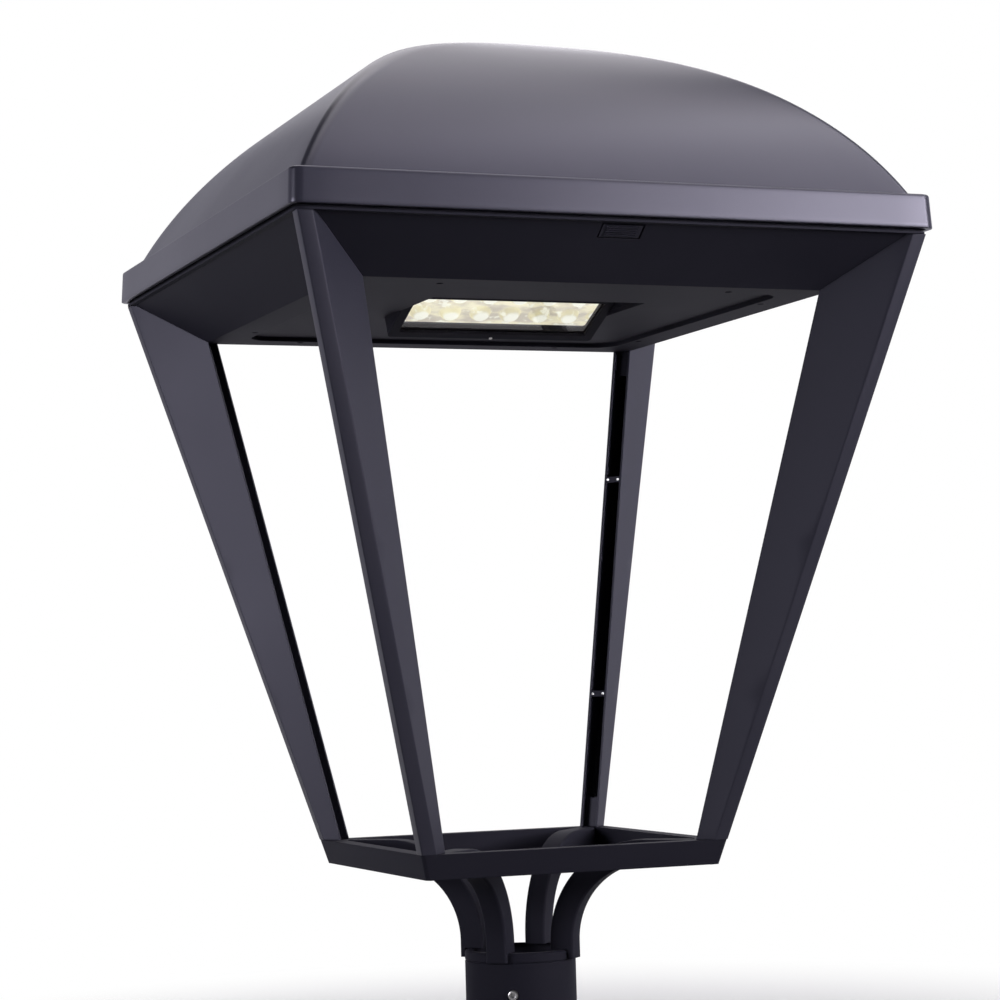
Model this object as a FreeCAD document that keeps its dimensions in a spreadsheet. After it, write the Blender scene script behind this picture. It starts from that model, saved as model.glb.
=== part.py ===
import FreeCAD, Part
import math
import os
import types

import Sketcher
from FreeCAD import Placement, Rotation, Vector

# A square post top lantern: a domed roof canopy, hinged along its back edge, closes a
# shallow pan that holds a tilted light module; four tapered corner legs stand the pan on a
# square bottom frame, and four curved arms carry that frame on a collar for a round post.
# The origin is the middle of the collar's lower end, +Z is up and the latch faces -Y.

# --------------------------------------------------------------------------------------
# Driving dimensions (millimetres; slopes, shares and counts are plain numbers)
# --------------------------------------------------------------------------------------
DIMENSIONS = (
    # the post collar
    ("collar_radius", 43.5, "outside radius of the collar"),
    ("collar_bore", 38.2, "radius of the bore that takes the post's spigot"),
    ("collar_length", 90.0, "length of the collar"),
    ("collar_chamfer", 1.5, "chamfer round the collar's upper rim"),
    ("collar_groove", 0.8, "depth of the groove round the collar below the arms' lips"),
    ("stop_depth", 78.0, "depth at which the post meets the stop ring"),
    ("stop_height", 4.0, "thickness of the stop ring"),
    ("stop_bore", 32.0, "radius left open for the supply cable inside the stop ring"),
    ("set_screw_radius", 4.0, "radius of the clamping set screws"),
    ("set_screw_length", 6.6, "length of the clamping set screws"),
    ("set_screw_low", 22.0, "height of the lower ring of set screws"),
    ("set_screw_high", 58.0, "height of the upper ring of set screws"),
    # the four curved arms
    ("arm_width", 17.0, "width of an arm across its bend"),
    ("arm_depth", 19.0, "depth of an arm, which is also the height of the frame"),
    ("arm_bend", 60.0, "radius of the hollow side of an arm's bend"),
    ("arm_foot", 6.0, "straight stretch of an arm above the collar's rim"),
    ("arm_lip", 7.0, "length of an arm's lip that laps over the collar's wall"),
    ("arm_lap", 4.5, "thickness of that lip"),
    ("arm_edge", 2.0, "rounding of an arm's long edges"),
    # the square bottom frame
    ("frame_half", 123.8, "half the width of the bottom frame at its upper edge"),
    ("frame_wall", 8.0, "wall of the bottom frame"),
    ("frame_corner", 24.0, "radius of the frame's inside corners"),
    ("frame_edge", 3.0, "radius of the frame's outside corners"),
    ("gusset_thickness", 4.0, "thickness of the corner gussets"),
    ("gusset_share", 1.12, "radius of the gussets' opening over the frame's inside half width"),
    # the four corner legs
    ("leg_height", 453.0, "height from the frame's top to the lower edge of the roof skirt"),
    ("leg_foot_depth", 16.3, "how far a leg's inner edge stands in from its nose at the frame"),
    ("leg_inset", 5.4, "how far a leg's inner edge stands in from the pan's lower edge"),
    ("leg_width", 15.7, "width of a leg across its flanks"),
    ("leg_wall", 1.8, "wall of a leg beside its cable channel"),
    ("leg_nose_wall", 1.5, "depth of solid nose behind its two faces"),
    ("leg_edge", 1.0, "rounding of a leg's nose edges"),
    ("channel_mouth", 7.0, "depth of the channel beside the bolts, at its two ends"),
    ("channel_bottom", 24.0, "height above the frame where the channel deepens"),
    ("channel_top", 62.0, "depth below the roof skirt where the deep channel ends"),
    ("foot_bolt_radius", 3.0, "radius of the bolts in the legs' feet"),
    ("foot_bolt_length", 36.0, "length of the shank of a foot bolt"),
    ("top_bolt_radius", 4.0, "radius of the bolts in the legs' heads"),
    ("top_bolt_length", 46.0, "length of the shank of a head bolt"),
    # the roof canopy
    ("canopy_half", 250.0, "half the width of the roof skirt at its lower edge"),
    ("skirt_height", 25.0, "height of the roof skirt"),
    ("skirt_draft", 1.2, "how far the skirt draws in over its height"),
    ("skirt_wall", 3.5, "wall of the roof skirt"),
    ("skirt_corner", 9.0, "radius of the skirt's corners"),
    ("skirt_edge", 1.6, "rounding of the skirt's upper edge"),
    ("ledge_width", 11.3, "width of the ledge between the skirt's face and the dome"),
    ("dome_rise", 147.4, "height of the dome above the ledge"),
    ("dome_wall", 3.0, "wall of the dome and of the ledge"),
    ("ridge_radius", 8.0, "radius of the dome's ridges where they start on the ledge"),
    ("seal_rib", 4.0, "thickness of the rib that presses on the gasket"),
    # the pan below the roof
    ("shadow_gap", 2.5, "gap between the roof skirt and the pan's rim"),
    ("rim_thickness", 2.0, "thickness of the pan's rim"),
    ("rim_setback", 4.5, "how far the pan's rim stands in from the face of the roof skirt"),
    ("rim_corner", 8.0, "radius of the rim's corners"),
    ("pan_depth", 40.8, "depth of the pan below the lower edge of the roof skirt"),
    ("rim_lip", 4.9, "how far the pan's rim stands out from its slope"),
    ("pan_run", 48.6, "how far the pan's slope draws in over its height"),
    ("pan_edge", 5.0, "radius of the pan's hips"),
    ("pan_wall", 5.0, "wall of the pan's slope, measured level"),
    ("pan_floor", 3.5, "thickness of the pan's underside"),
    ("pan_inside_corner", 60.0, "radius of the pan's inside corners, which leaves bolt pads"),
    ("pan_rim_width", 17.5, "width of the level rim that carries the gasket"),
    ("floor_border", 27.0, "width of the pan's underside round its opening"),
    ("opening_corner", 22.0, "radius of the corners of that opening"),
    ("gasket_width", 8.0, "width of the roof gasket"),
    # the bottom panel
    ("panel_lap", 11.0, "how far the bottom panel laps over the pan's underside"),
    ("panel_thickness", 3.5, "thickness of the bottom panel"),
    ("panel_screw_radius", 2.5, "radius of the bottom panel's screws"),
    # the tilted light module
    ("module_tilt", 24.3, "tilt of the light module, its back edge down, in degrees"),
    ("module_rise", 0.6, "height of the window's middle above the pan's underside"),
    ("window_length", 160.0, "length of the light window"),
    ("window_width", 49.0, "width of the light window"),
    ("bezel_border", 7.5, "border of the bezel round the window"),
    ("bezel_thickness", 2.5, "thickness of the bezel"),
    ("glass_thickness", 4.0, "thickness of the window glass"),
    ("glass_lap", 2.5, "how far the glass laps behind the bezel"),
    ("lens_pitch", 25.4, "spacing of the lenses"),
    ("lens_radius", 9.0, "radius of a lens"),
    ("lens_height", 6.5, "height of a lens"),
    ("lens_plate", 2.0, "thickness of the plate that carries the lenses"),
    ("board_thickness", 1.6, "thickness of the circuit board"),
    ("chip_half", 1.75, "half the width of a light emitting chip"),
    ("chip_height", 0.8, "height of a light emitting chip"),
    ("module_wall", 3.0, "wall of the module's housing"),
    ("sink_base", 5.0, "thickness of the heat sink's base"),
    ("fin_height", 24.0, "height of the heat sink's fins"),
    ("fin_thickness", 2.2, "thickness of a fin"),
    ("shroud_reach", 80.0, "reach of the light shroud in front of the lantern's axis"),
    ("sheet", 1.5, "thickness of the formed sheet parts"),
    # the gear tray and what it carries
    ("gear_gap", 19.0, "gap between the driver's lug and the surge protector"),
    ("tray_width", 92.0, "width of the gear tray"),
    ("tray_margin", 14.0, "distance of the gear tray from the bottom panel's edge"),
    ("tray_stand", 6.0, "height of the tray's feet"),
    ("driver_length", 150.0, "length of the driver"),
    ("driver_width", 60.0, "width of the driver"),
    ("driver_height", 34.0, "height of the driver"),
    ("gear_screw_radius", 2.0, "radius of the screws that hold the gear"),
    ("surge_length", 58.0, "length of the surge protector"),
    ("terminal_length", 64.0, "length of the terminal block"),
    # the hinges along the back
    ("hinge_spacing", 150.0, "distance of each hinge from the middle"),
    ("hinge_length", 48.0, "length of a hinge"),
    ("hinge_barrel", 5.0, "radius of a hinge's barrel"),
    ("hinge_pin_radius", 2.5, "radius of a hinge pin"),
    ("hinge_offset", 7.0, "distance of the hinge line behind the skirt"),
    ("hinge_drop", 2.0, "depth of the hinge line below the lower edge of the skirt"),
    # the latch on the front slope
    ("button_length", 33.0, "length of the latch button"),
    ("button_width", 13.4, "width of the latch button along the slope"),
    ("button_travel", 4.0, "travel of the latch button"),
    ("button_setback", 6.3, "how far the button's middle stands in from the slope's upper edge"),
    ("rib_height", 0.7, "height of the grip ribs"),
    ("spring_radius", 4.2, "radius of the latch spring"),
    # clearances
    ("running_gap", 0.05, "radial clearance of the hinge pins in the moving barrels"),
    ("slide_gap", 0.35, "clearance of parts that slide or swing past each other"),
    ("seat_gap", 0.15, "clearance of parts that fit into each other and stay put"),
)


class Size:
    """A length and the expression that gives it from the spreadsheet."""

    def __init__(self, value, text):
        self.value = value
        self.text = text

    @staticmethod
    def of(number):
        """Return number as a Size."""
        if isinstance(number, Size):
            return number
        return Size(float(number), f"({number})")

    def combine(self, other, sign, value):
        other = Size.of(other)
        return Size(value(self.value, other.value), f"({self.text} {sign} {other.text})")

    def __add__(self, other):
        return self.combine(other, "+", lambda a, b: a + b)

    def __sub__(self, other):
        return self.combine(other, "-", lambda a, b: a - b)

    def __mul__(self, other):
        return self.combine(other, "*", lambda a, b: a * b)

    def __truediv__(self, other):
        return self.combine(other, "/", lambda a, b: a / b)

    def __radd__(self, other):
        return Size.of(other) + self

    def __rsub__(self, other):
        return Size.of(other) - self

    def __rmul__(self, other):
        return Size.of(other) * self

    def __neg__(self):
        return Size.of(0) - self


def call(name, function, *numbers):
    """Return a Size that a function of the spreadsheet's own language gives."""
    sizes = [Size.of(number) for number in numbers]
    value = function(*(size.value for size in sizes))
    return Size(value, f"{name}({'; '.join(size.text for size in sizes)})")


def root(number):
    return call("sqrt", math.sqrt, number)


def power(number, exponent):
    return call("pow", math.pow, number, exponent)


def smaller(first, second):
    return call("min", min, first, second)


def sine(degrees):
    return call("sin", lambda a: math.sin(math.radians(a)), degrees)


def cosine(degrees):
    return call("cos", lambda a: math.cos(math.radians(a)), degrees)


def slope_angle(slope):
    """Return in degrees the angle whose tangent is slope."""
    value = Size.of(slope)
    return Size(math.degrees(math.atan(value.value)), f"(atan({value.text}) / 1 deg)")


DIAGONAL = root(Size.of(2))     # from half a square's width to its corner

doc = FreeCAD.newDocument("lantern")
sheet = doc.addObject("Spreadsheet::Sheet", "Sizes")
for row, (alias, number, note) in enumerate(DIMENSIONS, start=1):
    sheet.set(f"A{row}", alias)
    sheet.set(f"B{row}", str(number))
    sheet.set(f"C{row}", note)
    sheet.setAlias(f"B{row}", alias)
doc.recompute()
d = types.SimpleNamespace(**{
    alias: Size(number, f"Sizes.{alias}") for alias, number, note in DIMENSIONS})

pieces = []                     # the finished sub-parts, in the order they are made


# --------------------------------------------------------------------------------------
# Helpers: bound properties
# --------------------------------------------------------------------------------------
def bind(thing, field, size):
    """Tie a property to the spreadsheet."""
    thing.setExpression(field, Size.of(size).text)


def move_to(thing, x=0, y=0, z=0, rotation=None):
    """Give an object its place, tied to the spreadsheet."""
    values = [Size.of(number) for number in (x, y, z)]
    base = Vector(*(size.value for size in values))
    thing.Placement = Placement(base, rotation or Rotation())
    for name, size in zip("xyz", values):
        bind(thing, f"Placement.Base.{name}", size)


def keep(thing, label):
    """Name a finished sub-part."""
    thing.Label = label
    pieces.append(thing)
    return thing


# --------------------------------------------------------------------------------------
# Helpers: Part primitives and booleans
# --------------------------------------------------------------------------------------
def block(length, width, height, x=0, y=0, z=0, centred=True):
    """A box; centred in x and y about its place, and standing on it."""
    box = doc.addObject("Part::Box", "block")
    bind(box, "Length", length)
    bind(box, "Width", width)
    bind(box, "Height", height)
    if centred:
        x = x - Size.of(length) / 2
        y = y - Size.of(width) / 2
    move_to(box, x, y, z)
    return box


AXES = {
    "z": Rotation(),
    "-z": Rotation(Vector(1, 0, 0), 180),
    "x": Rotation(Vector(0, 1, 0), 90),
    "y": Rotation(Vector(1, 0, 0), -90),
}


def rod(radius, length, x=0, y=0, z=0, axis="z"):
    """A cylinder that starts at its place and runs along an axis."""
    cylinder = doc.addObject("Part::Cylinder", "rod")
    bind(cylinder, "Radius", radius)
    bind(cylinder, "Height", length)
    move_to(cylinder, x, y, z, AXES[axis])
    return cylinder


def join(parts):
    """Fuse parts into one solid."""
    whole = doc.addObject("Part::MultiFuse", "join")
    whole.Shapes = list(parts)
    whole.Refine = True
    return whole


def cut(base, tools):
    """Cut one part or several out of a base."""
    tools = list(tools)
    result = doc.addObject("Part::Cut", "cut")
    result.Base = base
    result.Tool = tools[0] if len(tools) == 1 else join(tools)
    result.Refine = True
    return result


def group(parts):
    """Hold separate solids as one object."""
    compound = doc.addObject("Part::Compound", "group")
    compound.Links = list(parts)
    return compound


def screw(radius, length, x, y, z, head=1.7, height=1.0, socket=True):
    """A cap screw: the head stands on its place and the shank runs down from it."""
    top = rod(radius * head, radius * height, x, y, z)
    shank = rod(radius, length, x, y, z - length)
    whole = join([top, shank])
    if not socket:
        return whole
    recess = doc.addObject("Part::Prism", "socket")
    recess.Polygon = 6
    bind(recess, "Circumradius", radius * 0.9)
    bind(recess, "Height", radius * height)
    move_to(recess, x, y, z + radius * height * 0.4)
    return cut(whole, [recess])


# --------------------------------------------------------------------------------------
# Helpers: PartDesign bodies
# --------------------------------------------------------------------------------------
def new_body(label):
    """Start a body."""
    return keep(doc.addObject("PartDesign::Body", label), label)


def sketch_on(body, height=0, plane="XY_Plane"):
    """Attach an empty sketch to one of the body's own planes, at a height above it."""
    sketch = body.newObject("Sketcher::SketchObject", "sketch")
    support = [item for item in body.Origin.OriginFeatures if item.Role == plane][0]
    sketch.AttachmentSupport = [(support, "")]
    sketch.MapMode = "FlatFace"
    height = Size.of(height)
    sketch.AttachmentOffset = Placement(Vector(0, 0, height.value), Rotation())
    bind(sketch, "AttachmentOffset.Base.z", height)
    return sketch


def fix(sketch, kind, *where, size):
    """Add a dimension to a sketch and tie it to the spreadsheet."""
    size = Size.of(size)
    index = sketch.addConstraint(Sketcher.Constraint(kind, *where, size.value))
    bind(sketch, f"Constraints[{index}]", size)


def outline(sketch, corners):
    """Draw a closed outline through corners.

    Each corner is (x, y), or (x, y, radius) where an arc leads up to it; a positive
    radius bulges to the right of the way the outline runs, a negative one to the left.
    """
    spots = [(Size.of(corner[0]), Size.of(corner[1])) for corner in corners]
    edges = []
    for number, corner in enumerate(corners):
        start = Vector(spots[number - 1][0].value, spots[number - 1][1].value, 0)
        end = Vector(spots[number][0].value, spots[number][1].value, 0)
        if len(corner) == 2:
            edge = sketch.addGeometry(Part.LineSegment(start, end), False)
            edges.append((edge, 1, 2))
            continue
        bulge = Size.of(corner[2])
        radius = abs(bulge.value)
        chord = end - start
        sagitta = math.sqrt(radius ** 2 - chord.Length ** 2 / 4)
        left = Vector(-chord.y, chord.x, 0).normalize()
        turns_left = bulge.value > 0
        centre = start + chord / 2 + left * (sagitta if turns_left else -sagitta)
        first, last = (start, end) if turns_left else (end, start)
        angles = [math.atan2(spot.y - centre.y, spot.x - centre.x) for spot in (first, last)]
        circle = Part.Circle(centre, Vector(0, 0, 1), radius)
        edge = sketch.addGeometry(Part.ArcOfCircle(circle, angles[0], angles[1]), False)
        edges.append((edge, 1, 2) if turns_left else (edge, 2, 1))
        fix(sketch, "Radius", edge, size=bulge if turns_left else -bulge)
    for number, (edge, start, end) in enumerate(edges):
        previous = edges[number - 1]
        sketch.addConstraint(Sketcher.Constraint(
            "Coincident", previous[0], previous[2], edge, start))
        for kind, size in zip(("DistanceX", "DistanceY"), spots[number]):
            fix(sketch, kind, -1, 1, edge, end, size=size)


def rounded_square(sketch, half, radius, half_y=None, middle_y=0):
    """Draw a rectangle with rounded corners about the sketch's middle."""
    x, y, r = Size.of(half), Size.of(half if half_y is None else half_y), Size.of(radius)
    low, high = middle_y - y, middle_y + y
    outline(sketch, [
        (x, high - r), (x - r, high, r), (-x + r, high), (-x, high - r, r),
        (-x, low + r), (-x + r, low, r), (x - r, low), (x, low + r, r)])


def rectangle(sketch, half_x, half_y, middle_x=0, middle_y=0):
    """Draw a rectangle with sharp corners."""
    x, y = Size.of(half_x), Size.of(half_y)
    outline(sketch, [(middle_x + x, middle_y + y), (middle_x - x, middle_y + y),
                     (middle_x - x, middle_y - y), (middle_x + x, middle_y - y)])


def disc(sketch, x, y, radius):
    """Draw a circle."""
    x, y, r = Size.of(x), Size.of(y), Size.of(radius)
    centre = Vector(x.value, y.value, 0)
    circle = sketch.addGeometry(Part.Circle(centre, Vector(0, 0, 1), r.value), False)
    fix(sketch, "DistanceX", -1, 1, circle, 3, size=x)
    fix(sketch, "DistanceY", -1, 1, circle, 3, size=y)
    fix(sketch, "Radius", circle, size=r)


def extrude(body, kind, sketch, length, symmetric=False, reverse=False):
    """Pad or pocket a sketch."""
    feature = body.newObject(f"PartDesign::{kind}", kind.lower())
    feature.Profile = sketch
    if symmetric:
        feature.SideType = "Symmetric"
    feature.Reversed = reverse
    bind(feature, "Length", length)
    doc.recompute()
    return feature


def loft(body, kind, sketches, ruled=True):
    """Add or remove a loft through sketches."""
    feature = body.newObject(f"PartDesign::{kind}Loft", "loft")
    feature.Profile = sketches[0]
    feature.Sections = sketches[1:]
    feature.Ruled = ruled
    doc.recompute()
    return feature


def turn(body, kind, sketch):
    """Revolve or groove a sketch round its own upright axis."""
    feature = body.newObject(f"PartDesign::{kind}", kind.lower())
    feature.Profile = sketch
    feature.ReferenceAxis = (sketch, ["V_Axis"])
    feature.Angle = 360
    doc.recompute()
    return feature


def round_edges(body, radius, wanted):
    """Fillet the edges of the body's tip that wanted chooses."""
    tip = body.Tip
    names = [f"Edge{number}" for number, edge in enumerate(tip.Shape.Edges, start=1)
             if wanted(edge)]
    feature = body.newObject("PartDesign::Fillet", "fillet")
    feature.Base = (tip, names)
    bind(feature, "Radius", radius)
    doc.recompute()
    return feature


def middle_of(edge):
    """Return the point halfway along an edge."""
    return edge.valueAt((edge.FirstParameter + edge.LastParameter) / 2)


def direction_of(edge):
    """Return the unit direction from an edge's start to its end."""
    first, last = edge.valueAt(edge.FirstParameter), edge.valueAt(edge.LastParameter)
    chord = last - first
    return chord.normalize() if chord.Length > 1e-6 else Vector(0, 0, 0)


# --------------------------------------------------------------------------------------
# Levels and places that several pieces share
# --------------------------------------------------------------------------------------
arm_centre_z = d.collar_length + d.arm_foot
frame_bottom = arm_centre_z + d.arm_bend
frame_top = frame_bottom + d.arm_depth
skirt_level = frame_top + d.leg_height
ledge_level = skirt_level + d.skirt_height
rim_top = skirt_level - d.shadow_gap
rim_bottom = rim_top - d.rim_thickness
pan_bottom = skirt_level - d.pan_depth
panel_level = pan_bottom + d.pan_floor
panel_top = panel_level + d.panel_thickness
arm_face = d.collar_radius + d.arm_lap
arm_centre_u = arm_face + d.arm_bend
rim_half = d.canopy_half - d.rim_setback
pan_top_half = rim_half - d.rim_lip
pan_bottom_half = pan_top_half - d.pan_run
opening_half = pan_bottom_half - d.floor_border
pan_slope = d.pan_run / (rim_bottom - pan_bottom)
leg_inner_half = d.frame_half - d.leg_foot_depth
leg_lean = (rim_half - d.frame_half) / d.leg_height
leg_back_lean = (pan_bottom_half - d.leg_inset - leg_inner_half) / (pan_bottom - frame_top)
CORNERS = {"front_left": 225, "front_right": 315, "back_right": 45, "back_left": 135}


def pan_half_at(level):
    """Half the width of the pan's slope at a level."""
    return pan_bottom_half + pan_slope * (level - pan_bottom)


def leg_nose_half(level):
    """Half the width between the legs' noses at a level."""
    return d.frame_half + leg_lean * (level - frame_top)


def leg_inner_half_at(level):
    """Half the width between the legs' inner edges at a level."""
    return leg_inner_half + leg_back_lean * (level - frame_top)


# --------------------------------------------------------------------------------------
# The post collar and its set screws
# --------------------------------------------------------------------------------------
SCREWS_AROUND = 3       # set screws in each of the two rings


def make_collar():
    """The tube that slips over the post, with a stop ring inside."""
    body = new_body("post_collar")
    profile = sketch_on(body, plane="XZ_Plane")
    stop_top = d.stop_depth + d.stop_height
    groove_top = d.collar_length - d.arm_lip
    outline(profile, [
        (d.collar_radius, 0), (d.collar_radius, groove_top - d.collar_groove * 2),
        (d.collar_radius - d.collar_groove, groove_top - d.collar_groove),
        (d.collar_radius, groove_top), (d.collar_radius, d.collar_length - d.collar_chamfer),
        (d.collar_radius - d.collar_chamfer, d.collar_length),
        (d.collar_bore, d.collar_length), (d.collar_bore, stop_top),
        (d.stop_bore, stop_top), (d.stop_bore, d.stop_depth),
        (d.collar_bore, d.stop_depth), (d.collar_bore, 0)])
    turn(body, "Revolution", profile)
    holes = sketch_on(body, plane="YZ_Plane")
    for level in (d.set_screw_low, d.set_screw_high):
        disc(holes, 0, level, d.set_screw_radius + d.seat_gap)
    first = extrude(body, "Pocket", holes, d.collar_radius * 2, reverse=True)
    pattern = body.newObject("PartDesign::PolarPattern", "pattern")
    pattern.Originals = [first]
    upright = [item for item in body.Origin.OriginFeatures if item.Role == "Z_Axis"][0]
    pattern.Axis = (upright, [""])
    pattern.Angle = 360
    pattern.Occurrences = SCREWS_AROUND
    body.Tip = pattern
    doc.recompute()


def make_set_screws():
    """Grub screws with a hollow end, two rings of them."""
    screws = []
    for level in (d.set_screw_low, d.set_screw_high):
        for number in range(SCREWS_AROUND):
            shank = rod(d.set_screw_radius, d.set_screw_length, axis="x")
            recess = rod(d.set_screw_radius * 0.5, d.set_screw_radius, axis="x")
            bind(recess, "Placement.Base.x", d.set_screw_length - d.set_screw_radius)
            whole = cut(shank, [recess])
            place = Rotation(Vector(0, 0, 1), 360 / SCREWS_AROUND * number)
            reach = d.collar_bore + d.seat_gap
            direction = place.multVec(Vector(1, 0, 0))
            move_to(whole, reach * direction.x, reach * direction.y, level, place)
            screws.append(whole)
    keep(group(screws), "collar_set_screws")


# --------------------------------------------------------------------------------------
# The arms
# --------------------------------------------------------------------------------------
frame_low_half = d.frame_half - leg_lean * d.arm_depth
frame_inside_u = (frame_low_half - d.frame_wall - d.frame_corner) * DIAGONAL \
    + root(d.frame_corner * d.frame_corner - d.arm_width * d.arm_width / 4)
arm_end_u = frame_inside_u - d.seat_gap


def make_arm(name, angle):
    """An arm that laps over the collar's rim, bends outwards and ends in the frame."""
    body = new_body(f"arm_{name}")
    profile = sketch_on(body, plane="XZ_Plane")
    inner_face = arm_face - d.arm_depth
    lip_face = d.collar_radius + d.seat_gap
    rim = d.collar_length
    outline(profile, [
        (arm_face, rim - d.arm_lip), (arm_face, arm_centre_z),
        (arm_centre_u, frame_bottom, -d.arm_bend), (arm_end_u, frame_bottom),
        (arm_end_u, frame_top), (arm_centre_u, frame_top),
        (inner_face, arm_centre_z, d.arm_bend + d.arm_depth), (inner_face, rim),
        (lip_face, rim), (lip_face, rim - d.arm_lip)])
    extrude(body, "Pad", profile, d.arm_width, symmetric=True)

    def long_edge(edge):
        middle = middle_of(edge)
        on_side = abs(abs(middle.y) - d.arm_width.value / 2) < 1e-4
        inside = d.collar_length.value + 0.1 < middle.z
        across = abs(middle.x - arm_end_u.value) < 1e-3
        return on_side and inside and not across
    round_edges(body, d.arm_edge, long_edge)
    body.Placement = Placement(Vector(0, 0, 0), Rotation(Vector(0, 0, 1), angle))


# --------------------------------------------------------------------------------------
# The bottom frame
# --------------------------------------------------------------------------------------
foot_head_radius = d.foot_bolt_radius * 1.65
foot_head_height = d.foot_bolt_radius * 2
foot_head_level = frame_bottom + foot_head_height * 1.1     # the heads are sunk in the frame
foot_bolt_u = (d.frame_half + leg_inner_half) * DIAGONAL / 2
leg_axis_slope = (leg_lean + leg_back_lean) * DIAGONAL / 2
foot_bolt_low = frame_bottom - d.arm_depth      # below the frame, where the holes start
leg_axis_length = root(1 + leg_axis_slope * leg_axis_slope)
foot_bolt_end = foot_head_level + d.foot_bolt_length


def foot_bolt_u_at(level):
    """Distance of a foot bolt's axis from the lantern's axis at a level."""
    return foot_bolt_u + leg_axis_slope * (level - frame_top)


def leaning_rod(radius, low, high):
    """A cylinder along a leg's axis, on the +X diagonal, from one level to another."""
    cylinder = doc.addObject("Part::Cylinder", "rod")
    bind(cylinder, "Radius", radius)
    bind(cylinder, "Height", (high - low) * leg_axis_length)
    lean = slope_angle(leg_axis_slope)
    move_to(cylinder, foot_bolt_u_at(low), 0, low, Rotation(Vector(0, 1, 0), lean.value))
    bind(cylinder, "Placement.Rotation.Angle", lean)
    return cylinder


def round_corners(part):
    """Place a part, made on the +X diagonal, at each of the four corners."""
    copies = []
    for angle in CORNERS.values():
        copy = group([part])
        copy.Placement = Placement(Vector(0, 0, 0), Rotation(Vector(0, 0, 1), angle))
        copies.append(copy)
    return copies


def make_frame():
    """The square frame with its corner gussets and the slots that take the arms' ends."""
    body = doc.addObject("PartDesign::Body", "frame_casting")
    bottom = sketch_on(body, frame_bottom)
    rounded_square(bottom, frame_low_half, d.frame_edge)
    top = sketch_on(body, frame_top)
    rounded_square(top, d.frame_half, d.frame_edge)
    loft(body, "Additive", [bottom, top])
    half = frame_low_half - d.frame_wall
    inside = sketch_on(body, frame_bottom + d.gusset_thickness)
    rounded_square(inside, half, d.frame_corner)
    extrude(body, "Pocket", inside, d.arm_depth, reverse=True)
    opening = sketch_on(body, frame_top)
    gusset_radius = half * d.gusset_share
    reach = root(gusset_radius * gusset_radius - half * half)
    bulge = gusset_radius
    outline(opening, [
        (half, reach), (reach, half, bulge), (-reach, half), (-half, reach, bulge),
        (-half, -reach), (-reach, -half, bulge), (reach, -half), (half, -reach, bulge)])
    extrude(body, "Pocket", opening, d.arm_depth * 2)
    slots = sketch_on(body, frame_top)
    near, far = gusset_radius - d.frame_wall, arm_end_u + d.seat_gap
    side = d.arm_width / 2 + d.seat_gap
    for across, up in ((1, 1), (-1, 1), (-1, -1), (1, -1)):
        spots = [(near, side), (near, -side), (far, -side), (far, side)]
        outline(slots, [((u * across - v * up) / DIAGONAL, (u * up + v * across) / DIAGONAL)
                        for u, v in spots])
    extrude(body, "Pocket", slots, d.arm_depth * 2)
    shank = leaning_rod(d.foot_bolt_radius + d.seat_gap, foot_bolt_low, foot_bolt_end)
    head = leaning_rod(foot_head_radius + d.seat_gap, foot_bolt_low, foot_head_level)
    keep(cut(body, round_corners(join([shank, head]))), "bottom_frame")


def make_foot_bolts():
    """Bolts through the frame into the legs' feet, along the legs' lean."""
    shank = leaning_rod(d.foot_bolt_radius, foot_head_level, foot_bolt_end)
    head = leaning_rod(foot_head_radius, foot_head_level - foot_head_height, foot_head_level)
    keep(group(round_corners(join([shank, head]))), "leg_foot_bolts")


# --------------------------------------------------------------------------------------
# The legs: leaning channels with a two-faced nose
# --------------------------------------------------------------------------------------
rim_inner_half = rim_half - d.pan_rim_width
head_bolt_u = rim_inner_half * DIAGONAL - d.pan_inside_corner * (DIAGONAL - 1) \
    + d.top_bolt_radius * 2.6
channel_half = d.leg_width / 2 - d.leg_wall


def leg_section(body, level):
    """Draw a leg's outline at a level, on the +X diagonal."""
    sketch = sketch_on(body, level)
    nose = leg_nose_half(level) * DIAGONAL
    inner = leg_inner_half_at(level) * DIAGONAL
    side = d.leg_width / 2
    outline(sketch, [(nose, 0), (nose - side, side), (inner, side),
                     (inner, -side), (nose - side, -side)])
    return sketch


def hip_section(body, level):
    """Draw the corner of the pan's slope at a level, on the +X diagonal."""
    sketch = sketch_on(body, level)
    corner = pan_half_at(level) * DIAGONAL
    reach = pan_bottom_half / 2
    outline(sketch, [(corner, 0), (corner - reach, reach), (corner - reach, -reach)])
    return sketch


def channel_section(body, level, shallow=False):
    """Draw a leg's cable channel at a level, or only its mouth."""
    sketch = sketch_on(body, level)
    inner = leg_inner_half_at(level) * DIAGONAL
    floor = leg_nose_half(level) * DIAGONAL - d.leg_width / 2 - d.leg_nose_wall
    if shallow:
        floor = inner + d.channel_mouth
    mouth = inner - d.channel_mouth
    outline(sketch, [(floor, channel_half), (mouth, channel_half),
                     (mouth, -channel_half), (floor, -channel_half)])
    return sketch


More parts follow.
